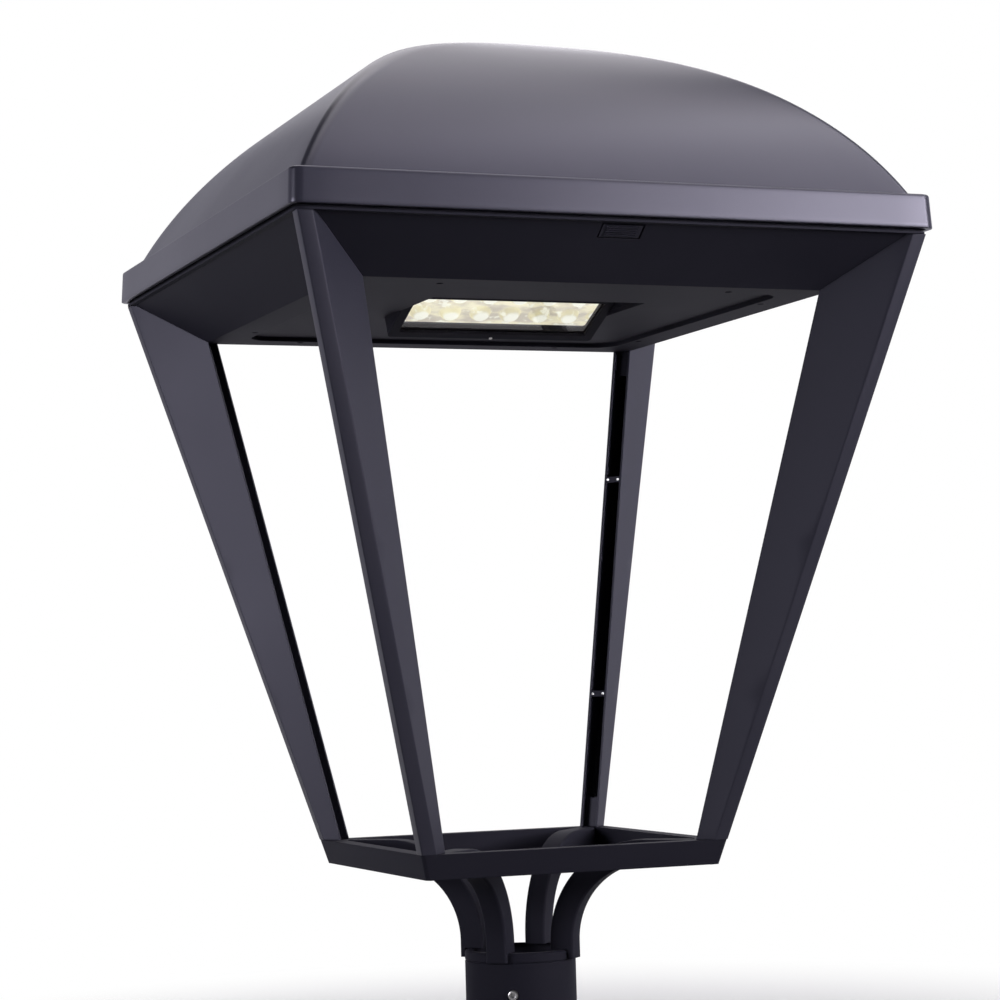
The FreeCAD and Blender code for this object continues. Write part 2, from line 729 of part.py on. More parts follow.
def make_leg(name, angle):
    """A leg: it is cut to the pan's hip and hollowed by a cable channel along its back."""
    body = new_body(f"leg_{name}")
    loft(body, "Additive", [leg_section(body, frame_top), leg_section(body, rim_bottom)])
    loft(body, "Subtractive", [hip_section(body, pan_bottom), hip_section(body, rim_bottom)])
    low, high = frame_top + d.channel_bottom, skirt_level - d.channel_top
    loft(body, "Subtractive", [channel_section(body, low), channel_section(body, high)])

    def channel_end(edge):
        middle, way = middle_of(edge), direction_of(edge)
        at_end = min(abs(middle.z - low.value), abs(middle.z - high.value)) < 1e-3
        at_side = abs(abs(middle.y) - channel_half.value) < 1e-3
        return at_end and at_side and abs(way.x) > 0.99
    round_edges(body, channel_half - d.seat_gap, channel_end)

    def nose_edge(edge):
        way, middle = direction_of(edge), middle_of(edge)
        nose = leg_nose_half(frame_top).value + leg_lean.value * (middle.z - frame_top.value)
        behind = nose * DIAGONAL.value - middle.x
        long = edge.Length > d.leg_height.value / 2
        return long and behind < d.leg_width.value / 2 + d.leg_edge.value / 2
    round_edges(body, d.leg_edge, nose_edge)
    head_hole = sketch_on(body, skirt_level)
    disc(head_hole, head_bolt_u, 0, d.top_bolt_radius + d.seat_gap)
    extrude(body, "Pocket", head_hole, d.top_bolt_length + d.shadow_gap * 2)
    foot_hole = sketch_on(body, frame_bottom)
    lean = slope_angle(leg_axis_slope)
    start = foot_bolt_u_at(frame_bottom)
    foot_hole.AttachmentOffset = Placement(
        Vector(start.value, 0, frame_bottom.value), Rotation(Vector(0, 1, 0), lean.value))
    bind(foot_hole, "AttachmentOffset.Base.x", start)
    bind(foot_hole, "AttachmentOffset.Rotation.Angle", lean)
    disc(foot_hole, 0, 0, d.foot_bolt_radius + d.seat_gap)
    depth = (foot_bolt_end - frame_bottom) * leg_axis_length + d.slide_gap
    extrude(body, "Pocket", foot_hole, depth, reverse=True)
    mouths = [channel_section(body, level, shallow=True) for level in (frame_top, pan_bottom)]
    loft(body, "Subtractive", mouths)
    body.Placement = Placement(Vector(0, 0, 0), Rotation(Vector(0, 0, 1), angle))


def make_head_bolts():
    """Cap screws through the pan's corners into the legs' heads."""
    bolt = screw(d.top_bolt_radius, d.top_bolt_length, head_bolt_u, 0, rim_top)
    keep(group(round_corners(bolt)), "leg_head_bolts")


clip_levels = (d.leg_height * 0.24 + frame_top, d.leg_height * 0.65 + frame_top)
clip_depth, clip_height, clip_sheet = 8.0, 5.0, 1.0


def make_clips():
    """Spring clips that hold the supply cable in the channel of one leg."""
    clips = []
    for level in clip_levels:
        inner = leg_inner_half_at(level) * DIAGONAL
        width = channel_half * 2 - d.seat_gap
        middle = inner + clip_depth / 2 + clip_sheet
        outer = block(clip_depth, width, clip_height, middle, 0, level)
        hollow = block(clip_depth, width - clip_sheet * 2, clip_height + clip_sheet * 2,
                       middle + clip_sheet, 0, level - clip_sheet)
        clips.append(cut(outer, [hollow]))
    whole = group(clips)
    whole.Placement = Placement(Vector(0, 0, 0), Rotation(Vector(0, 0, 1), CORNERS["back_right"]))
    keep(whole, "channel_clips")


# --------------------------------------------------------------------------------------
# The pan
# --------------------------------------------------------------------------------------
button_middle = rim_bottom - d.button_setback / pan_slope
slope_length = root(1 + pan_slope * pan_slope)      # slope length for each unit of height
button_half_height = d.button_width / 2 / slope_length
button_low = button_middle - button_half_height
button_high = button_middle + button_half_height
cavity_top = rim_bottom - d.pan_wall        # where the cavity's slope meets its rim
hinge_y = d.canopy_half + d.hinge_offset
hinge_z = skirt_level - d.hinge_drop


def make_pan():
    """The pan: a hollow with sloping sides, a level rim and an opening in its underside."""
    body = doc.addObject("PartDesign::Body", "pan_casting")
    bottom = sketch_on(body, pan_bottom)
    rounded_square(bottom, pan_bottom_half, d.pan_edge)
    top = sketch_on(body, rim_bottom)
    rounded_square(top, pan_top_half, d.pan_edge)
    loft(body, "Additive", [bottom, top])
    rim = sketch_on(body, rim_bottom)
    rounded_square(rim, rim_half, d.rim_corner)
    extrude(body, "Pad", rim, d.rim_thickness)
    floor = sketch_on(body, panel_level)
    rounded_square(floor, pan_half_at(panel_level) - d.pan_wall, d.pan_inside_corner)
    shoulder = sketch_on(body, cavity_top)
    rounded_square(shoulder, rim_inner_half, d.pan_inside_corner)
    loft(body, "Subtractive", [floor, shoulder])
    mouth = sketch_on(body, rim_top)
    rounded_square(mouth, rim_inner_half, d.pan_inside_corner)
    extrude(body, "Pocket", mouth, rim_top - cavity_top)
    opening = sketch_on(body, panel_level)
    rounded_square(opening, opening_half, d.opening_corner)
    for x, y in panel_screw_spots():
        disc(opening, x, y, d.panel_screw_radius + d.seat_gap)
    extrude(body, "Pocket", opening, d.pan_floor)
    bolts = sketch_on(body, rim_top)
    reach = head_bolt_u / DIAGONAL
    for across, up in ((1, 1), (-1, 1), (-1, -1), (1, -1)):
        disc(bolts, reach * across, reach * up, d.top_bolt_radius + d.seat_gap)
    extrude(body, "Pocket", bolts, d.pan_depth)
    window = block(
        d.button_length + d.slide_gap * 2, pan_bottom_half, button_high - button_low
        + d.slide_gap * 2, 0, -rim_half, button_low - d.slide_gap)
    keep(cut(body, [window]), "lower_housing")


def make_gasket():
    """The foam seal between the pan's rim and the roof."""
    body = new_body("canopy_gasket")
    outer = sketch_on(body, rim_top)
    rounded_square(outer, gasket_half + d.gasket_width / 2, d.rim_corner)
    extrude(body, "Pad", outer, gasket_height)
    inner = sketch_on(body, rim_top + gasket_height)
    rounded_square(inner, gasket_half - d.gasket_width / 2, d.rim_corner - d.gasket_width / 2)
    extrude(body, "Pocket", inner, gasket_height)


# --------------------------------------------------------------------------------------
# The roof canopy
# --------------------------------------------------------------------------------------
dome_foot = d.canopy_half - d.ledge_width
dome_radius = (dome_foot * dome_foot + d.dome_rise * d.dome_rise) / (d.dome_rise * 2)
ledge_inner = ledge_level - d.dome_wall
inner_radius = dome_radius - d.dome_wall
inner_foot = root(inner_radius * d.dome_rise * 2 - d.dome_rise * d.dome_rise)
gasket_half = inner_foot + d.seal_rib / 2
gasket_height = 5.0
RIDGE_FADE = 1.6        # how fast the ridges soften towards the crown
ROUNDEST = 0.92         # a section's corner radius is at most this share of its half width
DOME_SHARES = (0.0, 0.14, 0.3, 0.46, 0.61, 0.745, 0.855, 0.935, 0.98, 0.998)


def dome_sections(body, radius, foot_level, foot_half, ridge):
    """Draw the rounded squares that a dome of a radius passes through."""
    sketches = []
    for share in DOME_SHARES:
        level = foot_level + d.dome_rise * share
        drop = d.dome_rise * (1 - share)        # depth below the crown
        half = root(drop * (radius * 2 - drop))
        fading = ridge * power(foot_half / half, RIDGE_FADE)
        sketch = sketch_on(body, level)
        rounded_square(sketch, half, smaller(fading, half * ROUNDEST))
        sketches.append(sketch)
    return sketches


def make_canopy():
    """The roof: a skirt, a narrow ledge and a four-sided dome, hollow and in one casting."""
    body = new_body("roof_canopy")
    upper_half = d.canopy_half - d.skirt_draft
    low = sketch_on(body, skirt_level)
    rounded_square(low, d.canopy_half, d.skirt_corner)
    high = sketch_on(body, ledge_level - d.skirt_edge)
    rounded_square(high, upper_half, d.skirt_corner)
    bevel = sketch_on(body, ledge_level)
    rounded_square(bevel, upper_half - d.skirt_edge, d.skirt_corner - d.skirt_edge)
    loft(body, "Additive", [low, high, bevel])
    outer = dome_sections(body, dome_radius, ledge_level, dome_foot, d.ridge_radius)
    loft(body, "Additive", outer, ruled=False)
    skirt_inside = sketch_on(body, skirt_level)
    rounded_square(skirt_inside, d.canopy_half - d.skirt_wall - d.skirt_draft,
                   d.skirt_corner - d.skirt_wall)
    extrude(body, "Pocket", skirt_inside, ledge_inner - skirt_level, reverse=True)
    inner = dome_sections(body, inner_radius, ledge_inner, inner_foot, d.ridge_radius)
    loft(body, "Subtractive", inner, ruled=False)
    rib = sketch_on(body, ledge_inner)
    rounded_square(rib, inner_foot + d.seal_rib, d.ridge_radius + d.seal_rib)
    rounded_square(rib, inner_foot, d.ridge_radius)
    extrude(body, "Pad", rib, ledge_inner - rim_top - gasket_height, reverse=True)


# --------------------------------------------------------------------------------------
# The bottom panel and its screws
# --------------------------------------------------------------------------------------
module_middle = pan_bottom + d.module_rise
bezel_half_length = d.window_length / 2 + d.bezel_border
bezel_half_width = d.window_width / 2 + d.bezel_border
tilt_sine = sine(d.module_tilt)
tilt_cosine = cosine(d.module_tilt)
aperture_half = bezel_half_length + d.seat_gap
aperture_back = bezel_half_width / tilt_cosine \
    + (panel_top - module_middle) * tilt_sine / tilt_cosine + d.slide_gap
panel_half = opening_half + d.panel_lap
panel_screw_line = opening_half + d.panel_lap / 2
module_front_y = -bezel_half_width * tilt_cosine
module_front_z = module_middle + bezel_half_width * tilt_sine


def make_panel():
    """The flat panel that closes the pan's underside, with the light window's opening."""
    body = new_body("bottom_panel")
    plate = sketch_on(body, panel_level)
    rounded_square(plate, panel_half, d.opening_corner)
    extrude(body, "Pad", plate, d.panel_thickness)
    cuts = sketch_on(body, panel_top)
    middle = (aperture_back - d.shroud_reach) / 2
    rectangle(cuts, aperture_half, (aperture_back + d.shroud_reach) / 2, 0, middle)
    spots = panel_screw_spots()
    for x, y in spots:
        disc(cuts, x, y, d.panel_screw_radius + d.seat_gap)
    extrude(body, "Pocket", cuts, d.panel_thickness)


PANEL_SCREW_SHARE = 0.7     # a screw's distance along a side, as a share of its half


def panel_screw_spots():
    """Return where the panel's screws stand: two along each side."""
    line = panel_screw_line
    third = opening_half * PANEL_SCREW_SHARE
    spots = []
    for side in (-1, 1):
        for step in (-1, 1):
            spots.append((line * side, third * step))
            spots.append((third * step, line * side))
    return spots


def make_panel_screws():
    """The bottom panel's cap screws."""
    length = d.panel_thickness + d.pan_floor * 0.8
    keep(group(screw(d.panel_screw_radius, length, x, y, panel_top)
               for x, y in panel_screw_spots()), "panel_screws")


# --------------------------------------------------------------------------------------
# The tilted light module, each piece made flat and then tilted about the window's middle
# --------------------------------------------------------------------------------------
glass_low = d.bezel_thickness
glass_high = glass_low + d.glass_thickness
ledge_thickness = d.sheet
ledge_play = 0.5            # room round the glass ledge and in front of the lenses
lens_low = glass_high + ledge_thickness + ledge_play
lens_base = lens_low + d.lens_height
chip_low = lens_base + d.lens_plate
board_low = chip_low + d.chip_height
board_high = board_low + d.board_thickness
sink_low = board_high
inner_half_length = bezel_half_length - d.module_wall
inner_half_width = bezel_half_width - d.module_wall
bezel_screw_radius = d.panel_screw_radius * 0.4
bezel_screw_length = 8.0
LENSES_ALONG, LENSES_ACROSS = 6, 2
FINS = 13


def tilt(thing):
    """Put a piece of the light module, made flat about the origin, in its place."""
    thing.Placement = Placement(
        Vector(0, 0, module_middle.value), Rotation(Vector(-1, 0, 0), d.module_tilt.value))
    bind(thing, "Placement.Base.z", module_middle)
    bind(thing, "Placement.Rotation.Angle", d.module_tilt)
    return thing


def frame_pad(body, half_x, half_y, hole_x, hole_y, low, height, corner=3.0):
    """Pad a rectangular frame from a level."""
    ring = sketch_on(body, low)
    rounded_square(ring, half_x, corner, half_y=half_y)
    rounded_square(ring, hole_x, corner * 0.6, half_y=hole_y)
    extrude(body, "Pad", ring, height)


def make_bezel():
    """The border that holds the window glass."""
    body = new_body("light_bezel")
    frame_pad(body, bezel_half_length, bezel_half_width,
              d.window_length / 2, d.window_width / 2, 0, d.bezel_thickness)
    holes = sketch_on(body, d.bezel_thickness)
    for x, y in bezel_screw_spots():
        disc(holes, x, y, bezel_screw_radius + d.seat_gap)
    extrude(body, "Pocket", holes, d.bezel_thickness)
    tilt(body)


def bezel_screw_spots():
    """Return where the bezel's screws stand: the middle of each long border."""
    line = bezel_half_width - d.module_wall / 2
    return [(0, line * side) for side in (-1, 1)]


def make_bezel_screws():
    """Small pan head screws from below."""
    screws = []
    for x, y in bezel_screw_spots():
        head_height = bezel_screw_radius * 0.6
        head = rod(bezel_screw_radius * 1.4, head_height, x, y, -head_height)
        shank = rod(bezel_screw_radius, bezel_screw_length, x, y, 0)
        screws.append(join([head, shank]))
    keep(tilt(group(screws)), "bezel_screws")


def make_light_housing():
    """The module's wall, with a ledge behind the glass."""
    body = new_body("light_housing")
    frame_pad(body, bezel_half_length, bezel_half_width, inner_half_length, inner_half_width,
              glass_low, board_high - glass_low)
    ledge_x = d.window_length / 2 + ledge_play
    ledge_y = d.window_width / 2 + ledge_play
    root_x = inner_half_length + d.module_wall / 3      # the ledge is rooted in the wall
    root_y = inner_half_width + d.module_wall / 3
    frame_pad(body, root_x, root_y, ledge_x, ledge_y, glass_high, ledge_thickness)
    holes = sketch_on(body, glass_low)
    for x, y in bezel_screw_spots():
        disc(holes, x, y, bezel_screw_radius + d.seat_gap)
    extrude(body, "Pocket", holes, bezel_screw_length, reverse=True)
    tilt(body)


def make_glass():
    """The window's flat pane."""
    body = new_body("window_glass")
    half_x = d.window_length / 2 + d.glass_lap
    half_y = d.window_width / 2 + d.glass_lap
    pane = sketch_on(body, glass_low)
    rounded_square(pane, half_x, 3, half_y=half_y)
    extrude(body, "Pad", pane, d.glass_thickness)
    tilt(body)


def make_glass_seal():
    """The seal round the pane."""
    body = new_body("glass_seal")
    gap = d.seat_gap
    half_x = d.window_length / 2 + d.glass_lap + gap
    half_y = d.window_width / 2 + d.glass_lap + gap
    ring = sketch_on(body, glass_low)
    rounded_square(ring, inner_half_length - gap, 2, half_y=inner_half_width - gap)
    rounded_square(ring, half_x, 2.5, half_y=half_y)
    extrude(body, "Pad", ring, d.glass_thickness)
    tilt(body)


def make_lenses():
    """A plate of domed lenses, one over each chip."""
    body = new_body("lens_array")
    plate = sketch_on(body, lens_base)
    rounded_square(plate, inner_half_length - d.slide_gap, 2,
                   half_y=inner_half_width - d.slide_gap)
    extrude(body, "Pad", plate, d.lens_plate)
    profile = sketch_on(body, d.lens_pitch / 2, plane="XZ_Plane")
    first_x = -d.lens_pitch * (LENSES_ALONG - 1) / 2
    profile.AttachmentOffset = Placement(
        Vector(first_x.value, 0, d.lens_pitch.value / 2), Rotation())
    bind(profile, "AttachmentOffset.Base.x", first_x)
    curve = (d.lens_radius * d.lens_radius + d.lens_height * d.lens_height) / (d.lens_height * 2)
    outline(profile, [(0, lens_low), (d.lens_radius, lens_base, curve), (0, lens_base)])
    dome = turn(body, "Revolution", profile)
    axes = {item.Role: item for item in body.Origin.OriginFeatures}
    pattern = body.newObject("PartDesign::MultiTransform", "pattern")
    pattern.Originals = [dome]
    steps = []
    for role, count in (("X_Axis", LENSES_ALONG), ("Y_Axis", LENSES_ACROSS)):
        step = body.newObject("PartDesign::LinearPattern", "step")
        step.Direction = (axes[role], [""])
        step.Occurrences = count
        bind(step, "Length", d.lens_pitch * (count - 1))
        steps.append(step)
    pattern.Transformations = steps
    body.Tip = pattern
    doc.recompute()
    tilt(body)


def make_chips():
    """The light emitting chips."""
    chips = []
    for along in range(LENSES_ALONG):
        for across in range(LENSES_ACROSS):
            x = d.lens_pitch * (along - (LENSES_ALONG - 1) / 2)
            y = d.lens_pitch * (across - (LENSES_ACROSS - 1) / 2)
            chips.append(block(d.chip_half * 2, d.chip_half * 2, d.chip_height, x, y, chip_low))
    keep(tilt(group(chips)), "light_chips")


def make_board():
    """The circuit board that carries the chips."""
    body = new_body("circuit_board")
    plate = sketch_on(body, board_low)
    rounded_square(plate, inner_half_length - d.seat_gap, 2,
                   half_y=inner_half_width - d.seat_gap)
    extrude(body, "Pad", plate, d.board_thickness)
    tilt(body)


def make_heat_sink():
    """The finned heat sink behind the board."""
    body = new_body("heat_sink")
    base = sketch_on(body, sink_low)
    rounded_square(base, bezel_half_length, 3, half_y=bezel_half_width)
    extrude(body, "Pad", base, d.sink_base)
    fin = sketch_on(body, sink_low + d.sink_base)
    side = bezel_half_length - d.fin_thickness
    rectangle(fin, d.fin_thickness / 2, bezel_half_width - 2, -side, 0)
    first = extrude(body, "Pad", fin, d.fin_height)
    pattern = body.newObject("PartDesign::LinearPattern", "pattern")
    pattern.Originals = [first]
    axis = [item for item in body.Origin.OriginFeatures if item.Role == "X_Axis"][0]
    pattern.Direction = (axis, [""])
    pattern.Occurrences = FINS
    bind(pattern, "Length", side * 2)
    body.Tip = pattern
    doc.recompute()
    tilt(body)


shroud_lip = 12.0           # width of the flanges that lie on the panel
cheek_share = 0.55          # how far the cheeks rise, as a share of the module's half width


def make_shroud():
    """The sheet cradle: two cheeks that carry the module and a ramp in front of it."""
    width = aperture_half * 2
    front = -d.shroud_reach
    lip = shroud_lip
    body = doc.addObject("PartDesign::Body", "ramp")
    profile = sketch_on(body, plane="YZ_Plane")
    end_y = module_front_y - d.slide_gap
    outline(profile, [
        (front - lip, panel_top), (front, panel_top), (end_y, module_front_z),
        (end_y, module_front_z + d.sheet), (front, panel_top + d.sheet),
        (front - lip, panel_top + d.sheet)])
    extrude(body, "Pad", profile, width, symmetric=True)
    cheeks = []
    for side in (-1, 1):
        cheek = doc.addObject("PartDesign::Body", "cheek")
        shape = sketch_on(cheek, (aperture_half + d.sheet / 2) * side, plane="YZ_Plane")
        top = module_middle + bezel_half_width * cheek_share
        outline(shape, [
            (front - lip, panel_top), (aperture_back, panel_top),
            (aperture_back, top), (end_y, top), (end_y - lip / 2, module_front_z + d.sheet),
            (front, panel_top + d.sheet), (front - lip, panel_top + d.sheet)])
        extrude(cheek, "Pad", shape, d.sheet, symmetric=True)
        flange = block(lip, aperture_back + d.shroud_reach, d.sheet,
                       (aperture_half + lip / 2) * side, (aperture_back - d.shroud_reach) / 2,
                       panel_top)
        cheeks += [cheek, flange]
    keep(join([body] + cheeks), "light_shroud")


# --------------------------------------------------------------------------------------
# The gear tray and what stands on it
# --------------------------------------------------------------------------------------
tray_middle = panel_half - d.tray_width / 2 - d.tray_margin
tray_level = panel_top + d.tray_stand
tray_top = tray_level + d.sheet
tray_inset = 8.0            # distance of the tray's screws from its edges
gear_inset = 4.0            # distance of the gear from the tray's ends
driver_lug = 9.0            # length of the driver's screw lugs
lug_height = 2.0            # thickness of those lugs
tray_length = (d.driver_length + driver_lug * 2 + d.gear_gap + d.surge_length
               + gear_inset * 1.25)
driver_x = -(tray_length - d.driver_length) / 2 + driver_lug + gear_inset / 4
surge_x = (tray_length - d.surge_length) / 2 - gear_inset
surge_width, surge_height = 30.0, 24.0
surge_y = tray_middle + tray_inset * 1.75
terminal_y = -d.shroud_reach - 45       # in front of the light shroud


def tray_spots():
    """Return where the tray's feet and screws stand."""
    reach_x = tray_length / 2 - tray_inset
    reach_y = d.tray_width / 2 - tray_inset
    return [(reach_x * across, tray_middle + reach_y * up)
            for across in (-1, 1) for up in (-1, 1)]


def make_tray():
    """The sheet that carries the gear, on four feet."""
    body = doc.addObject("PartDesign::Body", "tray_plate")
    plate = sketch_on(body, tray_level)
    rounded_square(plate, tray_length / 2, 4, half_y=d.tray_width / 2, middle_y=tray_middle)
    extrude(body, "Pad", plate, d.sheet)
    feet = [rod(d.gear_screw_radius * 2.2, d.tray_stand, x, y, panel_top)
            for x, y in tray_spots()]
    holes = [rod(d.gear_screw_radius + d.seat_gap, d.tray_stand * 2, x, y, panel_top)
             for x, y in tray_spots()]
    keep(cut(join([body] + feet), holes), "gear_tray")
    length = tray_top - panel_top
    keep(group(screw(d.gear_screw_radius, length, x, y, tray_top)
               for x, y in tray_spots()), "tray_screws")


CASE_EDGE = 1.2             # rounding of the cases' upper edges


def make_case(label, length, width, height, x, y, low, corner=3, lug=0):
    """A moulded or folded case with rounded upright edges and lugs at its ends."""
    body = new_body(label)
    plan = sketch_on(body, low)
    half_x, half_y = Size.of(length) / 2, Size.of(width) / 2
    rounded_square(plan, half_x, corner, half_y=half_y)
    extrude(body, "Pad", plan, height)

    def top_edge(edge):
        return abs(middle_of(edge).z - Size.of(low).value - Size.of(height).value) < 1e-4
    round_edges(body, CASE_EDGE, top_edge)
    if lug:
        foot = sketch_on(body, low)
        rounded_square(foot, half_x + lug, corner, half_y=half_y / 2)
        extrude(body, "Pad", foot, lug_height)
        holes = sketch_on(body, Size.of(low) + lug_height)
        for side in (-1, 1):
            disc(holes, (half_x + lug / 2) * side, 0, d.gear_screw_radius + d.seat_gap)
        extrude(body, "Pocket", holes, lug_height)
    move_to(body, x, y, 0)
    return body


def make_gear():
    """The driver, screwed to the tray by its lugs, and the surge protector beside it."""
    make_case("led_driver", d.driver_length, d.driver_width, d.driver_height,
              driver_x, tray_middle, tray_top, lug=driver_lug)
    make_case("surge_protector", d.surge_length, surge_width, surge_height, surge_x,
              surge_y, tray_top)
    reach = (d.driver_length + driver_lug) / 2
    keep(group(screw(d.gear_screw_radius, d.sheet, driver_x + reach * side, tray_middle,
                     tray_top + lug_height) for side in (-1, 1)), "driver_screws")


terminal_width, terminal_height = 22.0, 20.0
mouth_radius, mouth_depth, mouth_level = 2.6, 12.0, 6.0
well_radius, well_depth = 2.8, 4.0          # the wells over the terminal's screws
clamp_length, clamp_width, clamp_height = 30.0, 9.0, 11.0
clamp_reach = 12.0                          # distance of the clamp's screws from its middle
ear_height = 3.0
cable_radius = 4.5
clamp_screw_radius = 1.8
POLES = 4


def make_terminals():
    """A terminal block with four poles: wire mouths in front and screws on top."""
    box = block(d.terminal_length, terminal_width, terminal_height, 0, terminal_y, panel_top)
    step = block(d.terminal_length + 1, terminal_width / 2, terminal_height / 2, 0,
                 terminal_y - terminal_width / 2, panel_top + terminal_height * 0.55)
    front = terminal_y - terminal_width / 2 - 1
    well_y = terminal_y + terminal_width / 4
    well_floor = panel_top + terminal_height - well_depth
    mouths, screws = [], []
    for number in range(POLES):
        x = d.terminal_length * ((number + 0.5) / POLES - 0.5)
        mouths.append(rod(mouth_radius, mouth_depth, x, front, panel_top + mouth_level, "y"))
        mouths.append(rod(well_radius, well_depth + 1, x, well_y, well_floor))
        screws.append(rod(well_radius * 0.9, well_depth * 0.6, x, well_y, well_floor))
    keep(cut(box, [step] + mouths), "terminal_block")
    keep(group(screws), "terminal_screws")


def make_clamp():
    """The saddle that clamps the supply cable beside the terminal block."""
    clamp_x = d.terminal_length / 2 + clamp_length * 0.8
    saddle = block(clamp_length, clamp_width, clamp_height, clamp_x, terminal_y, panel_top)
    lead = rod(cable_radius, mouth_depth, clamp_x, terminal_y - mouth_depth / 2,
               panel_top + cable_radius, "y")
    under = block(cable_radius * 2, mouth_depth, cable_radius, clamp_x, terminal_y,
                  panel_top - 0.01)
    sides, ears = [], []
    for side in (-1, 1):
        x = clamp_x + clamp_reach * side
        sides.append(block(clamp_width, mouth_depth, clamp_width, x, terminal_y,
                           panel_top + ear_height))
        ears.append(rod(clamp_screw_radius + d.seat_gap, ear_height * 2, x, terminal_y,
                        panel_top - 1))
    keep(cut(saddle, [lead, under] + sides + ears), "cable_clamp")
    keep(group(screw(clamp_screw_radius, ear_height, clamp_x + clamp_reach * side, terminal_y,
                     panel_top + ear_height) for side in (-1, 1)), "clamp_screws")


# --------------------------------------------------------------------------------------
# The hinges along the back
# --------------------------------------------------------------------------------------
leaf_thickness = 2.5
leaf_height = 20.0
leaf_screw_radius = 2.0
leaf_screw_reach = 12.0         # distance of a leaf's screws from its middle and lower edge
knuckle = d.hinge_length / 3
leaf_face = d.canopy_half + d.seat_gap
bracket_foot = 0.4              # how far up the pan's slope a bracket starts


def make_hinges():
    """Two hinges: leaves on the roof's skirt, brackets on the pan and the pins."""
    leaves, brackets, pins, screws = [], [], [], []
    screw_level = skirt_level + leaf_screw_reach
    for side in (-1, 1):
        x = d.hinge_spacing * side
        leaf = block(d.hinge_length, leaf_thickness, leaf_height, x,
                     leaf_face + leaf_thickness / 2, skirt_level + 1)
        arms = []
        for end in (-1, 1):
            middle = x + knuckle * end
            length = knuckle - d.slide_gap
            arms.append(rod(d.hinge_barrel, length, middle - length / 2, hinge_y, hinge_z, "x"))
            arms.append(block(length, d.hinge_offset - d.seat_gap, d.hinge_barrel, middle,
                              leaf_face + (d.hinge_offset - d.seat_gap) / 2, hinge_z + 1))
        bore = rod(d.hinge_pin_radius + d.running_gap, d.hinge_length * 2,
                   x - d.hinge_length, hinge_y, hinge_z, "x")
        leaf_holes = [rod(leaf_screw_radius + d.seat_gap, leaf_thickness * 2,
                          x + leaf_screw_reach * end, leaf_face - 1, screw_level, "y")
                      for end in (-1, 1)]
        leaves.append(cut(join([leaf] + arms), [bore] + leaf_holes))
        bracket = doc.addObject("PartDesign::Body", "hinge_bracket")
        profile = sketch_on(bracket, x, plane="YZ_Plane")
        low = pan_bottom + d.pan_depth * bracket_foot
        outline(profile, [
            (pan_half_at(low), low), (pan_top_half, rim_bottom), (rim_half, rim_bottom),
            (rim_half, rim_top), (d.canopy_half, rim_top), (hinge_y, hinge_z),
            (hinge_y - 1, hinge_z - d.hinge_barrel), (hinge_y - 9, rim_bottom - 10),
            (pan_half_at(low) + 4, low - 3)])
        extrude(bracket, "Pad", profile, knuckle, symmetric=True)
        barrel = rod(d.hinge_barrel, knuckle, x - knuckle / 2, hinge_y, hinge_z, "x")
        brackets.append(cut(join([bracket, barrel]), [bore]))
        pins.append(rod(d.hinge_pin_radius, d.hinge_length, x - d.hinge_length / 2,
                        hinge_y, hinge_z, "x"))
        for end in (-1, 1):
            screw_x = x + leaf_screw_reach * end
            head = rod(leaf_screw_radius * 1.8, leaf_screw_radius * 0.8, screw_x,
                       leaf_face + leaf_thickness, screw_level, "y")
            shank = rod(leaf_screw_radius, leaf_thickness, screw_x, leaf_face, screw_level, "y")
            screws.append(join([head, shank]))
    keep(group(leaves), "canopy_hinge_leaves")
    keep(group(screws), "hinge_screws")
    keep(group(brackets), "hinge_brackets")
    keep(group(pins), "hinge_pins")


# --------------------------------------------------------------------------------------
# The latch on the front slope
# --------------------------------------------------------------------------------------
latch_sheet = 2.0           # thickness of the keeper and the bracket
button_back = rim_inner_half - 7
keeper_face = rim_inner_half - 1.5          # the keeper plate's front face, from the axis
keeper_back = keeper_face - latch_sheet
nose_reach = 2.3
nose_low = skirt_level + 0.5
nose_high = nose_low + 2.2
GRIP_RIBS = 5
GRIP_SHARE = 0.8            # length of the ribs and the bracket over the button's length
keeper_flange = 14.0        # height of the flange that holds the keeper to the roof
window_play = 0.5           # room for the nose in the keeper's window


def make_button():
    """The push button: its face lies in the slope, and its nose hooks the keeper."""
    body = doc.addObject("PartDesign::Body", "button_face")
    profile = sketch_on(body, plane="YZ_Plane")
    outline(profile, [
        (-pan_half_at(button_low), button_low), (-button_back, button_low),
        (-button_back, button_high), (-pan_half_at(button_high), button_high)])
    extrude(body, "Pad", profile, d.button_length, symmetric=True)
    ribs = sketch_on(body, plane="YZ_Plane")
    across = d.rib_height * pan_slope / slope_length
    down = d.rib_height / slope_length
    pitch = (button_high - button_low) / (GRIP_RIBS + 1)
    for number in range(GRIP_RIBS):
        low = button_low + pitch * (number + 0.75)
        high = low + pitch / 2
        outline(ribs, [
            (-pan_half_at(low), low), (-pan_half_at(high), high),
            (-pan_half_at(high) - down, high - across),
            (-pan_half_at(low) - down, low - across)])
    extrude(body, "Pad", ribs, d.button_length * GRIP_SHARE, symmetric=True)
    hook = sketch_on(body, plane="YZ_Plane")
    hook_face = keeper_back - window_play
    outline(hook, [
        (-button_back, button_low), (-button_back, nose_high),
        (-hook_face - nose_reach, nose_high), (-hook_face - nose_reach, nose_low),
        (-hook_face, nose_low), (-hook_face, button_low)])
    extrude(body, "Pad", hook, d.button_length / 2, symmetric=True)
    keep(body, "latch_button")


